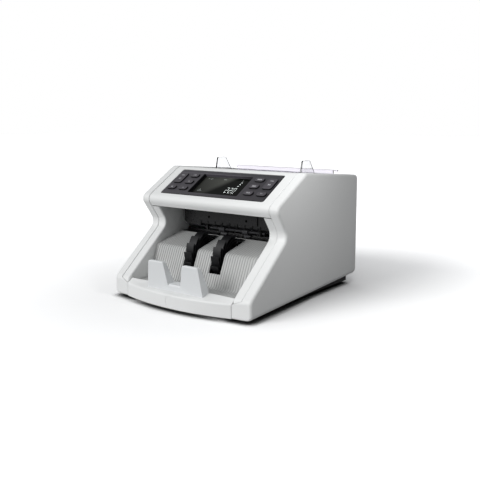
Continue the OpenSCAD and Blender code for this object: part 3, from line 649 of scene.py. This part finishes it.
# ------------------------------------------------------------------ cheeks of the mouth
def cheek(name):
    c = corners(SX)
    def ring(x, d):
        cc = inset(c, 0.6 + d)
        poly = [(-16, 5), (-16, 128.3), line_at_z(cc[3], cc[4], 128.3), cc[4], cc[5], (cc[5][0], 5)]
        return along_x(rounded(poly, [0, 0, 0, 13.6 + d, 10.4 - d, 0], 16), x)
    R = 2.6
    rings = []
    for k in range(9):
        t = math.radians(90 * k / 8)
        rings.append(ring(96 + R * (1 - math.cos(t)), R * (1 - math.sin(t))))
    rings += [ring(x, 0) for x in (102, 107)]
    rings += [ring(CX - dx, d) for dx, d in reversed(rim(0.9))]
    o = loft(name, rings[:9] + rings[9:])
    z0 = lambda x: cut_z(x) + 0.3
    o = meet(o, prism_y("t", [(90, z0(90)), (118, z0(118)), (118, 127.35), (90, 127.35)], -190, 20))
    ci = inset(c, 0.6 + WALL)
    hollow = [(-10, 5), (-10, 140), line_at_z(ci[3], ci[4], 140), ci[4], ci[5], (ci[5][0], 5)]
    o = cut(o, prism_x("t", rounded(hollow, [0, 0, 0, 16.2, 7.8, 0], 12), 98.4, 113))
    o = add(o, box("t3", (96, -16.6, 60), (98.4, 1, 127.35)))
    return cut(o, prism_x("t2", circle(7, 48, (-47.75, 58)), 90, 100))


r = cheek("cheek_skin_right")
l = mirror(r, "cheek_skin_left")
finish(r, "root", M["housing"], ["cheek_right"], bevel=0.4, segs=2, limit=60)
finish(l, "root", M["housing"], ["cheek_left"], bevel=0.4, segs=2, limit=60)


# ------------------------------------------------------------------ top cover
def shifted(o, dx=0, dy=0, dz=0):
    o.data.transform(Matrix.Translation((dx * S, dy * S, dz * S)))
    return o


def build_top():
    ci = inset(corners(SX), 0.6 + WALL)
    def ring(x, d):
        co = inset(corners(SX), 0.6 + d)
        y1, z1 = 128.2, 128.6
        poly = [line_at_y(co[1], co[2], y1), co[2], co[3], line_at_z(co[3], co[4], z1),
                line_at_z(ci[3], ci[4], z1), ci[3], ci[2], line_at_y(ci[1], ci[2], y1)]
        return along_x(rounded(poly, [0.35, 10.4 - d, 9.4 - d, 0.7, 0.2, 6.8, 7.8, 0.2], 14), x)
    xs = [(CX - dx, d) for dx, d in rim(0.9)] + [(60, 0), (0, 0)]
    rings = [ring(-x, d) for x, d in xs] + [ring(x, d) for x, d in reversed(xs[:-1])]
    o = loft("top_skin", rings)
    well = shifted(prism_z("t", rr(187.2, 115.9, 1.5), 150, 200), 0, 68.95)
    seat = prism_pan("t2", rr(189.2, 62.7, 3.2), -1.4, 12, 0, -30.25)
    thru = prism_pan("t3", rr(183.8, 56.4, 2.0), -9, 20, 0, -30.25)
    o = cut(o, well, seat, thru)
    flange = box("f", (-106.4, -64.2, 128.6), (106.4, -59, 130.8))
    o = join(o, flange)
    def deck_top(y): return 184.5 - 3.4 - 0.0815 * (y + 3.6)
    for s in (-1, 1):
        x0, x1 = sorted((s * 95.4, s * 97.4))
        o = join(o, prism_x("w", [(12, 164), (126, 164), (126, deck_top(126) + 0.5), (12, deck_top(12) + 0.5)], x0, x1))
    return o


finish(build_top(), "root", M["housing"], ["top_cover"], bevel=0.35, segs=3, limit=60)


# ------------------------------------------------------------------ rear cover
def build_rear():
    c0 = inset(corners(SX), 0.6)
    ci = inset(corners(SX), 0.6 + WALL)
    def ring(x, d):
        co = inset(corners(SX), 0.6 + d)
        poly = [line_at_z(co[0], co[1], 17.6), co[1], line_at_y(co[1], co[2], 128.5),
                line_at_y(ci[1], ci[2], 128.5), ci[1], line_at_z(ci[0], ci[1], 17.6)]
        return along_x(rounded(poly, [0.5, 6.4 - d, 0.35, 0.2, 3.8, 0.2], 12), x)
    xs = [(CX - dx, d) for dx, d in rim(0.9)] + [(60, 0), (0, 0)]
    rings = [ring(-x, d) for x, d in xs] + [ring(x, d) for x, d in reversed(xs[:-1])]
    o = loft("rear_skin", rings)
    bosses = [shifted(prism_y("b", circle(4.6, 32, (sx * 98, z)), 138, 145.2), 0, 0, 0) for sx in (-1, 1) for z in (30, 156)]
    o = add(o, *bosses)
    tools = [box("t", (-78, 120, 62), (78, 160, 150)), box("t", (57, 120, 24), (87, 160, 46)),
             box("t", (32.6, 120, 22.9), (51.4, 160, 46.9)), box("t", (-88.4, 120, 23.6), (-51.6, 160, 41.4)),
             prism_x("t", circle(0.86, 24, (144.83, 64.9)), -83, 83)]
    for sx in (-1, 1):
        for z in (30, 156):
            tools.append(prism_y("t", circle(3.5, 32, (sx * 98, z)), 143.5, 150))
            tools.append(prism_y("t", circle(1.7, 24, (sx * 98, z)), 130, 150))
    return cut(o, *tools)


finish(build_rear(), "root", M["housing"], ["rear_cover"], bevel=0.3, segs=2, limit=60)


# ------------------------------------------------------------------ front lip and note stops
def build_lip():
    def ring(x, d, e=0.0):
        b = bow(x) + d
        return along_x(rounded([(-124 - d, 4 + d * 0.6 + e), (-124 - d, 30 - d - e), (b + e, 23.5 - d * 1.1 - e * 0.7), (b + e, 4 + d * 0.6 + e)],
                       [0.8, 0.8, 1.5 if d > 0 else 3.5, 1.2], 8), x)
    es = {95.3 - dx: d for dx, d in rim(0.7)[:-1]}
    xs = list(es) + [94.6 - 94.6 * k / 24 for k in range(0, 24)]
    full = [(-x, es.get(x, 0)) for x in xs] + [(0, 0)] + [(x, es.get(x, 0)) for x in reversed(xs)]
    o = loft("lip_skin", [ring(x, 0, e) for x, e in full])
    inner = [92.5 - 92.5 * k / 12 for k in range(0, 13)]
    hollow = loft("h", [ring(-x, 2.6) for x in inner[:-1]] + [ring(x, 2.6) for x in reversed(inner)])
    o = cut(o, hollow, box("t", (-87.5, -136, 2), (87.5, -127, 10)))
    o = cut(o, prism_y("t", circle(8, 96, (0, 14.6)), -147.1, -151))
    return o


finish(build_lip(), "root", M["housing"], ["front_lip"], bevel=0.15, segs=2, limit=50)


def build_stop():
    side = rounded([(-124.6, 28.5), (-124.6, 35), (-135.8, 65.5), (-141.2, 65.5), (-137.5, 25.5), (-134, 25)],
                   [0, 2, 2.2, 1.8, 0, 0], 8)
    parts = []
    for s in (-1, 1):
        fr = [(9, 20), (51, 20), (45, 65.5), (17.4, 65.5)]
        if s < 0:
            fr = [(-p[0], p[1]) for p in reversed(fr)]
            rad = [4, 4, 0, 0]
        else:
            rad = [0, 0, 4, 4]
        a = prism_x("stop%d" % s, side, -54, 54)
        parts.append(meet(a, prism_y("t", rounded(fr, rad, 10), -150, -120)))
    web = prism_x("web", [(-124.6, 28.5), (-124.6, 36.5), (-136.4, 35.2), (-138.1, 32.6), (-137.5, 25.5), (-134, 25)], -13.5, 13.5)
    o = add(parts[0], parts[1])
    return add(o, web)


o = build_stop()
o.name = "stop_skin"
finish(o, "root", M["stop_plastic"], ["stacker_stop"], bevel=0.9, segs=4, limit=40)


# ------------------------------------------------------------------ ramp of the pocket, with its ribs
def arc_at(a, b, c, r, t, n):
    u, v = unit(sub(a, b)), unit(sub(c, b))
    h = math.acos(u[0] * v[0] + u[1] * v[1]) / 2
    w0 = unit((u[0] + v[0], u[1] + v[1]))
    q = (b[0] + w0[0] * r / math.sin(h), b[1] + w0[1] * r / math.sin(h))
    tt = r / math.tan(h)
    s = (b[0] + u[0] * tt - q[0], b[1] + u[1] * tt - q[1])
    w = -math.copysign(1, u[0] * v[1] - u[1] * v[0]) * (math.pi - 2 * h)
    f = (r - t) / r
    return [(q[0] + f * (s[0] * math.cos(w * k / n) - s[1] * math.sin(w * k / n)),
             q[1] + f * (s[0] * math.sin(w * k / n) + s[1] * math.cos(w * k / n))) for k in range(n + 1)]


def ramp_line(t, n=12):
    A, B, C, D = (-20.4, 85.7), (-70.75, 72), (-90.75, 25), (-123.6, 25)
    return [(-20.4, 85.7 - t * 1.03)] + arc_at(A, B, C, 9, t, n) + arc_at(B, C, D, 7, -t, n) + [(-123.6, 25 - t)]


def build_ramp():
    pitch, top_w, foot_w, h = 4.2, 0.9, 2.1, 0.75
    xs, hs = [-95.5], [0.0]
    k0 = int(95 // pitch)
    for k in range(-k0, k0 + 1):
        c = k * pitch
        for dx, f in ((-foot_w / 2, 0), (-foot_w / 2 + 0.3, 0.35), (-top_w / 2, 0.9), (-top_w / 4, 1.0), (top_w / 4, 1.0), (top_w / 2, 0.9),
                      (foot_w / 2 - 0.3, 0.35), (foot_w / 2, 0)):
            x = c + dx
            if -95.2 < x < 95.2:
                xs.append(x)
                hs.append(f)
    xs.append(95.5)
    hs.append(0.0)
    base = ramp_line(0)
    high = ramp_line(-h)
    bot = ramp_line(2.4)
    # ribs fade out at the two ends of the line
    m = len(base)
    fade = [min(1.0, i / 1.0, (m - 1 - i) / 1.0) for i in range(m)]
    rings = []
    for x, f in zip(xs, hs):
        top = [(b[0] + (g[0] - b[0]) * f * fd, b[1] + (g[1] - b[1]) * f * fd) for b, g, fd in zip(base, high, fade)]
        rings.append(along_x(top + list(reversed(bot)), x))
    o = loft("ramp_skin", rings)
    tools = []
    for s in (-1, 1):
        tools.append(prism_x("t", circle(37.7, 128, (-47.75, 58)), s * 25 - 10.5, s * 25 + 10.5))
    return cut(o, *tools)


# the rib flanks take the painted shade colour
finish(build_ramp(), "root", M["ramp_plastic"], ["stacker_ramp"], angle=40, second=M["ramp_rib_shade"],
       where=lambda c, n: abs(n[0]) > 0.3 and abs(c[0]) < 95.2)


# ------------------------------------------------------------------ stacker wheels
HUB, WR = 12.0, 35.5


def build_wheels():
    def bp(t, off):
        f = lambda u: (HUB - 1.5 + (WR - HUB + 1.5) * u, -math.radians(130) * (max(u, 0) ** 0.85))
        r1, a1 = f(t)
        r2, a2 = f(t + 0.01)
        p = (r1 * math.cos(a1), r1 * math.sin(a1))
        q = (r2 * math.cos(a2), r2 * math.sin(a2))
        u = unit(sub(q, p))
        return (p[0] - off * u[1], p[1] + off * u[0])
    o = None
    N = 22
    for s in (-1, 1):
        x0 = s * 25 - 7
        for k in range(16):
            g = math.radians(22.5 * k)
            up = [bp(i / N, 0.5) for i in range(N + 1)]
            dn = [bp(i / N, -0.5 * (1 - 0.3 * i / N)) for i in range(N, -1, -1)]
            tip_a, tip_b = up[-1], dn[0]
            mid = ((tip_a[0] + tip_b[0]) / 2, (tip_a[1] + tip_b[1]) / 2)
            poly = up + dn
            rot = [(p[0] * math.cos(g) - p[1] * math.sin(g) - 47.75, p[0] * math.sin(g) + p[1] * math.cos(g) + 58) for p in poly]
            b = loft("wheel_skin", [along_x(rot, x0), along_x(rot, x0 + 14)])
            o = b if o is None else join(o, b)
        # hub: rim, dished faces and a bore
        prof = [(3.0, 0.0), (6.0, 0.0), (6.4, 0.4), (6.4, 1.4), (10.0, 1.4), (10.3, 1.1), (10.3, 0.5), (10.8, 0.0), (11.5, 0.0), (12.0, 0.5),
                (12.0, 13.5), (11.5, 14.0), (10.8, 14.0), (10.3, 13.5), (10.3, 12.9), (10.0, 12.6), (6.4, 12.6), (6.4, 13.6), (6.0, 14.0), (3.0, 14.0)]
        K = 64
        rings = []
        for j in range(K):
            a = 2 * math.pi * j / K
            rings.append([(x0 + x, -47.75 + r * math.cos(a), 58 + r * math.sin(a)) for r, x in prof])
        o = join(o, loft("hub", rings, close=True))
    return o


finish(build_wheels(), "stacker", M["wheel_rubber"], ["stacker_wheels"], bevel=0.22, segs=2, limit=55)


# ------------------------------------------------------------------ control panel, keys and display
KX, KS = (60.0, 82.3), (13.8, 29.8, 45.6)
KEYS = {1: (KX[1], 21.8, 24.2), 2: (KX[0], KS[0], 8.6), 3: (KX[0], KS[1], 8.6), 4: (KX[0], KS[2], 8.6), 5: (KX[1], KS[2], 8.6)}


def pan_loft(name, levels, cx=0.0, cy=0.0):
    """levels: rows of (w, h, r, z)."""
    return loft(name, [[pan(p[0] + cx, p[1] + cy, z) for p in rr(w, h, r, 10)] for w, h, r, z in levels])


DX = -1.1


def build_panel():
    f = 0.8
    plate = [(188.8, 62.2, 3.0, -1.35), (188.8, 62.2, 3.0, -0.2 - f)]
    for k in range(1, 9):
        t = math.radians(90 * k / 8)
        i = f * (1 - math.cos(t))
        plate.append((188.8 - 2 * i, 62.2 - 2 * i, 3.0 - i, -0.2 - f + f * math.sin(t)))
    o = pan_loft("panel_skin", plate, 0, -30.25)
    o = add(o, pan_loft("t", [(183.2, 55.8, 1.8, -3.0), (183.2, 55.8, 1.8, -1.0)], 0, -30.25),
            pan_loft("t", [(93, 49.5, 2.2, -8.6), (93, 49.5, 2.2, -1.2)], DX, -29.75))
    tools = [pan_loft("t", [(90, 46.5, 1.6, -4.7), (90, 46.5, 1.6, -0.9), (91.2, 47.7, 2.2, -0.1), (91.2, 47.7, 2.2, 5)], DX, -29.75),
             pan_loft("t", [(89.4, 45.9, 1.4, -12), (89.4, 45.9, 1.4, -4)], DX, -29.75)]
    for s in (-1, 1):
        for x, sc, h in KEYS.values():
            tools.append(pan_loft("t", [(16.2, h + 0.6, 3.9, -6), (16.2, h + 0.6, 3.9, -0.55), (16.7, h + 1.1, 4.1, -0.19), (16.7, h + 1.1, 4.1, 4)], s * x, -sc))
    return cut(o, *tools)


# painted shade: picks the faces that get the near-black colour, the recess wall facing +X and the rim of the panel
def panel_painted_shade_where(c, n):
    in_recess = abs(c[0] - DX) < 46 and abs(c[1] + 29.75) < 24.2
    if in_recess:
        return c[2] > -4.6 and n[0] > 0.5
    right, foot, head = 94.4 - c[0], 31.1 + (c[1] + 30.25), 31.1 - (c[1] + 30.25)
    return min(right, foot, head) < 0.7 and c[2] < -0.22


finish(build_panel(), "root", M["panel_charcoal"], ["control_panel"], angle=28, second=M["panel_painted_shade"], where=panel_painted_shade_where)


def build_key(name, x, sc, h):
    w, r, top = 15.6, 3.6, 1.6
    lv = [(w, h, r, -3.3), (w, h, r, top - 1.0)]
    F = 1.0
    for k in range(1, 8):
        t = math.radians(90 * k / 7)
        i = F * (1 - math.cos(t))
        lv.append((w - 2 * i, h - 2 * i, r - i, top - F + F * math.sin(t)))
    lv += [(w - 3.2, h - 3.2, 2.2, top - 0.03), (w - 4.8, h - 4.8, 1.4, top - 0.12), (w - 6.6, h - 6.6, 0.6, top - 0.18)]
    o = pan_loft(name, lv, x, -sc)
    return join(o, pan_loft("f", [(17.4, h + 1.8, 3.6, -4.0), (17.4, h + 1.8, 3.6, -3.15)], x, -sc),
                pan_loft("f", [(4.4, 4.4, 2.19, -5.0), (4.4, 4.4, 2.19, -3.8)], x, -sc))


def stroke(pts, w, z, t=0.05, cx=0.0, cy=0.0):
    """Flat printed line on the slope's frame, as closed slabs."""
    out = []
    for a, b in zip(pts[:-1], pts[1:]):
        u = unit(sub(b, a))
        n = (-u[1] * w / 2, u[0] * w / 2)
        e = (u[0] * w / 2, u[1] * w / 2)
        quad = [(a[0] - e[0] + n[0], a[1] - e[1] + n[1]), (a[0] - e[0] - n[0], a[1] - e[1] - n[1]),
                (b[0] + e[0] - n[0], b[1] + e[1] - n[1]), (b[0] + e[0] + n[0], b[1] + e[1] + n[1])]
        out.append(loft("s", [[pan(p[0] + cx, p[1] + cy, zz) for p in quad] for zz in (z, z + t)]))
    return out


def flat(poly, z, t=0.05, cx=0.0, cy=0.0):
    return loft("s", [[pan(p[0] + cx, p[1] + cy, zz) for p in poly] for zz in (z, z + t)])


GLYPH = {
    "0": [[(0, 0), (1, 0), (1, 2), (0, 2), (0, 0)]],
    "1": [[(0.2, 1.6), (0.6, 2), (0.6, 0)]],
    "2": [[(0, 2), (1, 2), (1, 1), (0, 1), (0, 0), (1, 0)]],
    "5": [[(1, 2), (0, 2), (0, 1), (1, 1), (1, 0), (0, 0)]],
    "8": [[(0, 0), (1, 0), (1, 2), (0, 2), (0, 0)], [(0, 1), (1, 1)]],
    "+": [[(0, 1), (1, 1)], [(0.5, 0.5), (0.5, 1.5)]],
    "-": [[(0, 1), (1, 1)]],
}


def text(chars, size, w, z, cx, cy, gap=0.75, slant=0.0, wide=1.0, upright=1.0):
    """Generic figures, size = half a figure's height, wide = width over size."""
    step = size * (wide + gap)
    total = step * (len(chars) - 1) + size * wide
    out = []
    for i, ch in enumerate(chars):
        for line in GLYPH.get(ch, []):
            pts = [(p[0] * size * wide + (p[1] - 1) * size * slant + i * step - total / 2, (p[1] - 1) * size) for p in line]
            for a, b in zip(pts[:-1], pts[1:]):
                out += stroke([a, b], w * (upright if abs(b[1] - a[1]) > abs(b[0] - a[0]) else 1.0), z, 0.05, cx, cy)
    return out


def legend(side, i, x, sc, h):
    z = 1.6 - 0.185
    cx, cy = side * x, -sc
    out = []
    if i == 1:
        z = 1.6 - 0.185
        out += [flat(rr(5.6, 1.1, 0.5, 4), z, 0.06, cx - 0.2, cy + 6.3)]
        if side < 0:
            out += stroke([(-1.3, 1.3), (1.3, 1.3), (1.3, -1.3), (-1.3, -1.3), (-1.3, 1.3)], 0.5, z, 0.06, cx, cy - 2.6)
            out += [flat([(-2.3, -0.2), (-0.3, -0.2), (-1.3, 1.2)], z, 0.07, cx, cy - 2.6)]
        else:
            out += [flat([(-1.4, -1.7), (1.7, 0), (-1.4, 1.7)], z, 0.06, cx - 0.4, cy - 2.4)]
            out += stroke([(2.3, -1.6), (2.3, 1.6)], 0.6, z, 0.06, cx - 0.4, cy - 2.4)
    elif side < 0:
        if i == 2:
            out += text("+10", 0.95, 0.42, z, cx, cy)
        elif i == 3:
            out += stroke([(0, -1.2), (0, 1.2)], 0.55, z, 0.06, cx, cy) + stroke([(-1.2, 0), (1.2, 0)], 0.55, z, 0.06, cx, cy)
        elif i == 4:
            out += stroke([(-1.3, 0), (1.3, 0)], 0.6, z, 0.06, cx, cy)
        else:
            out += text("100", 0.9, 0.42, z, cx, cy)
    else:
        if i == 2:
            out += [flat(rr(1.9, 1.9, 0.4, 4), z, 0.06, cx - 2.6, cy), flat(rr(1.9, 1.9, 0.4, 4), z, 0.06, cx, cy), flat(rr(1.9, 1.9, 0.4, 4), z, 0.06, cx + 2.6, cy)]
        elif i == 3:
            out += [flat(rr(6.4, 0.55, 0.25, 3), z, 0.06, cx, cy + d) for d in (0.95, 0, -0.95)]
        elif i == 4:
            out += text("0123"[:1] * 1 + "025", 0.9, 0.42, z, cx, cy)
        else:
            out += stroke([(1.3, 1.1), (0, -0.5), (-1.3, 1.1)], 0.55, z, 0.06, cx, cy)
    return out


for side, tag in ((-1, "l"), (1, "r")):
    for i, (x, sc, h) in KEYS.items():
        nm = "key_%s%d" % (tag, i)
        k = build_key("cap_%s%d" % (tag, i), side * x, sc, h)
        # painted shade: the key side walls get the near-black colour
        finish(k, nm, M["key_charcoal"], [nm], angle=50, second=M["panel_painted_shade"],
               where=lambda c, n: pan_normal(n) < 0.72 and c[2] > -3.0)
        parts = legend(side, i, x, sc, h)
        p = parts[0]
        if len(parts) > 1:
            p = join(p, *parts[1:])
        p.name = "print_%s%d" % (tag, i)
        finish(p, nm, M["key_print"], angle=20, weighted=False)


def build_display():
    z = -4.7 + 0.01
    big = text("220", 5.7, 0.46, z, 20.3, -36.4, 0.50, 0.03, 0.62, 0.62)
    o = join(big[0], *big[1:])
    small = []
    for t, x, y in (("8", 27.0, -25.6), ("5", 27.9, -21.2), ("2", 28.6, -16.8)):
        small += text(t, 0.80, 0.22, z, x, y, 0.5, 0.05, 2.0, 0.8)
    o = join(o, *small)
    o.name = "display_figures"
    finish(o, "root", M["display_digits"], angle=20, weighted=False)
    marks = []
    marks += stroke([(-37.0, -11.6), (-34.8, -11.6)], 0.8, z, 0.05) + stroke([(-35.9, -11.6), (-35.9, -13.6)], 0.6, z, 0.05)
    marks += stroke([(-32.0, -11.4), (-29.0, -11.4), (-29.0, -13.6), (-32.0, -13.6), (-32.0, -11.4)], 0.6, z, 0.05)
    marks += [flat(rr(6.0, 1.9, 0.7, 4), z, 0.05, -4.8, -12.0)]
    marks += text("0", 1.1, 0.5, z, 27.4, -12.6, 0.5, 0.05, 1.15)
    marks += stroke([(-37.4, -42.4), (-30.0, -42.4)], 0.75, z, 0.05) + stroke([(-37.0, -42.4), (-34.6, -38.0), (-31.4, -42.4)], 0.75, z, 0.05)
    marks += stroke([(-34.4, -41.0), (-33.8, -40.0)], 0.6, z, 0.05)
    m = join(marks[0], *marks[1:])
    m.name = "display_marks"
    finish(m, "root", M["display_marks"], angle=20, weighted=False)


build_display()


# ------------------------------------------------------------------ hopper guides
FIN = [(50.5, 139.9), (86.5, 152.0), (86.5, 143.1), (91.5, 143.1), (91.5, 153.7), (97, 155.5), (89, 176), (75, 196.3), (54.5, 196.5), (50.5, 178)]


def build_fin(name):
    p = rounded(FIN, [1, 0.3, 0.3, 0.3, 0.3, 1, 8, 4, 3, 6], 12)
    return prism_x(name, p, 80 - 1.25, 80 + 1.25)


r = build_fin("fin_right")
l = mirror(r, "fin_left")
finish(r, "guide_right", M["clear"], ["guide_fin_right"], bevel=0.25, segs=3, limit=60)
finish(l, "guide_left", M["clear"], ["guide_fin_left"], bevel=0.25, segs=3, limit=60)


# ------------------------------------------------------------------ CAD nodes that stay, with rounded edges and real finishes
done = {"side_cover_left", "side_cover_right", "cheek_left", "cheek_right", "top_cover", "rear_cover", "front_lip", "stacker_stop",
        "stacker_ramp", "stacker_wheels", "control_panel", "guide_fin_left", "guide_fin_right"}
done |= {n for n in nodes if n.startswith("key_")}
EDGE = {"base_tray": 0.4, "rear_door": 0.35, "rear_plate": 0.2, "hopper_floor": 0.25, "hopper_frame": 0.25, "sensor_carrier": 0.3,
        "lower_guide": 0.15, "feed_gap_screw": 0.3, "mains_inlet": 0.25, "data_ports": 0.15, "power_rocker": 0.25, "rubber_feet": 0.5,
        "retard_bracket": 0.2, "display_window": 0.1, "chassis_plates": 0.15, "guide_carriage_left": 0.2, "guide_carriage_right": 0.2}
for n, o in nodes.items():
    if n in done:
        continue
    mat = M[slot_of[n]]
    if not o.material_slots:
        o.data.materials.append(mat)
    for s in o.material_slots:
        s.material = mat
    if n in EDGE:
        w = o.modifiers.new("weld", "WELD")
        w.merge_threshold = 2e-6
        b = o.modifiers.new("edges", "BEVEL")
        b.width = EDGE[n] * S
        b.segments = 2
        b.limit_method = "ANGLE"
        b.angle_limit = math.radians(55)
        b.use_clamp_overlap = True

# ------------------------------------------------------------------ floor, light, background
def floor():
    me = bpy.data.meshes.new("floor")
    me.from_pydata([(-8, -8, 0), (8, -8, 0), (8, 8, 0), (-8, 8, 0)], [], [(0, 1, 2, 3)])
    o = link(bpy.data.objects.new("floor", me))
    m = bpy.data.materials.new("floor_pale")
    m.use_nodes = True
    nt = m.node_tree
    nt.nodes.clear()
    out = nt.nodes.new("ShaderNodeOutputMaterial")
    mix = nt.nodes.new("ShaderNodeMixShader")
    path = nt.nodes.new("ShaderNodeLightPath")
    seen = nt.nodes.new("ShaderNodeBsdfDiffuse")
    lit = nt.nodes.new("ShaderNodeBsdfDiffuse")
    n = noise(nt, node(nt, "TexCoord").outputs["Object"], 3.0, 2.0)
    far = node(nt, "VectorMath", operation="LENGTH")
    nt.links.new(node(nt, "TexCoord").outputs["Object"], far.inputs[0])
    tone = node(nt, "VectorMath", operation="SCALE")
    nt.links.new(shade(nt, n, (1.0, 1.0, 1.0), (1.01, 1.01, 1.01), 0.3, 0.8), tone.inputs[0])
    # painted contact shadow: ambient occlusion darkens the floor where the machine stands over it
    near = nt.nodes.new("ShaderNodeAmbientOcclusion")
    near.samples = 6
    near.inputs["Distance"].default_value = 0.012
    painted_shade_mask = node(nt, "Math", operation="MULTIPLY")
    nt.links.new(remap(nt, far.outputs["Value"], 0.14, 0.50, *FLOOR), painted_shade_mask.inputs[0])
    nt.links.new(remap(nt, near.outputs["AO"], 0.45, 0.98, 0.03, 1.0), painted_shade_mask.inputs[1])
    nt.links.new(painted_shade_mask.outputs[0], tone.inputs["Scale"])
    nt.links.new(tone.outputs[0], seen.inputs[0])
    lit.inputs[0].default_value = (0.50, 0.50, 0.50, 1)
    see = node(nt, "Math", operation="MAXIMUM")
    nt.links.new(path.outputs["Is Camera Ray"], see.inputs[0])
    nt.links.new(path.outputs["Is Transmission Ray"], see.inputs[1])
    nt.links.new(see.outputs[0], mix.inputs[0])
    nt.links.new(lit.outputs[0], mix.inputs[1])
    nt.links.new(seen.outputs[0], mix.inputs[2])
    nt.links.new(mix.outputs[0], out.inputs[0])
    o.data.materials.append(m)


# painted shade: the floor as seen is darker near the machine than far from it
FLOOR = (1.10, 1.95)   # near the machine, far from it
floor()


def area(name, loc, target, size, power, color=(1, 1, 1), size_y=None):
    d = bpy.data.lights.new(name, "AREA")
    d.energy = power
    d.color = color
    d.size = size
    if size_y:
        d.shape = "RECTANGLE"
        d.size_y = size_y
    o = bpy.data.objects.new(name, d)
    scene.collection.objects.link(o)
    o.location = loc
    v = Vector(loc) - Vector(target)
    o.rotation_mode = "QUATERNION"
    o.rotation_quaternion = v.to_track_quat("Z", "Y")
    return o


world = bpy.data.worlds.new("studio")
scene.world = world
world.use_nodes = True
nt = world.node_tree
nt.nodes.clear()
wo = nt.nodes.new("ShaderNodeOutputWorld")
bg_cam = nt.nodes.new("ShaderNodeBackground")
bg_lit = nt.nodes.new("ShaderNodeBackground")
mixw = nt.nodes.new("ShaderNodeMixShader")
lp = nt.nodes.new("ShaderNodeLightPath")
bg_cam.inputs[0].default_value = (1, 1, 1, 1)
bg_cam.inputs[1].default_value = 1.0
# soft boxes to the front and left, a darker room behind and to the right
tc = nt.nodes.new("ShaderNodeTexCoord")
dot = node(nt, "VectorMath", operation="DOT_PRODUCT")
nt.links.new(tc.outputs["Generated"], dot.inputs[0])
dot.inputs[1].default_value = Vector((-0.74, -0.50, 0.45)).normalized()
nt.links.new(remap(nt, dot.outputs["Value"], -0.62, 0.8, W_DIM, W_LIT), bg_lit.inputs[1])
bg_lit.inputs[0].default_value = (0.975, 0.985, 1.0, 1)
see = node(nt, "Math", operation="MAXIMUM")
nt.links.new(lp.outputs["Is Camera Ray"], see.inputs[0])
nt.links.new(lp.outputs["Is Transmission Ray"], see.inputs[1])
nt.links.new(see.outputs[0], mixw.inputs[0])
nt.links.new(bg_lit.outputs[0], mixw.inputs[1])
nt.links.new(bg_cam.outputs[0], mixw.inputs[2])
nt.links.new(mixw.outputs[0], wo.inputs[0])

sun = bpy.data.lights.new("key_soft", "SUN")
sun.energy = SUN
sun.angle = math.radians(34)
so = bpy.data.objects.new("key_soft", sun)
scene.collection.objects.link(so)
so.rotation_mode = "QUATERNION"
so.rotation_quaternion = Vector((-0.34, -0.85, 0.42)).to_track_quat("Z", "Y")

side = area("side_fill", (0.38, -0.08, 0.46), (0.110, -0.06, 0.17), 0.18, 0.04)
rake = area("side_rake", (0.265, -0.07, 0.31), (0.125, -0.03, 0.15), 0.10, 0.235)
rake.visible_camera = False
rake.visible_glossy = False
side.visible_camera = False
side.visible_glossy = False

scene.view_settings.view_transform = "Standard"
scene.view_settings.look = "None"
scene.view_settings.exposure = 0.0
scene.view_settings.gamma = 1.0
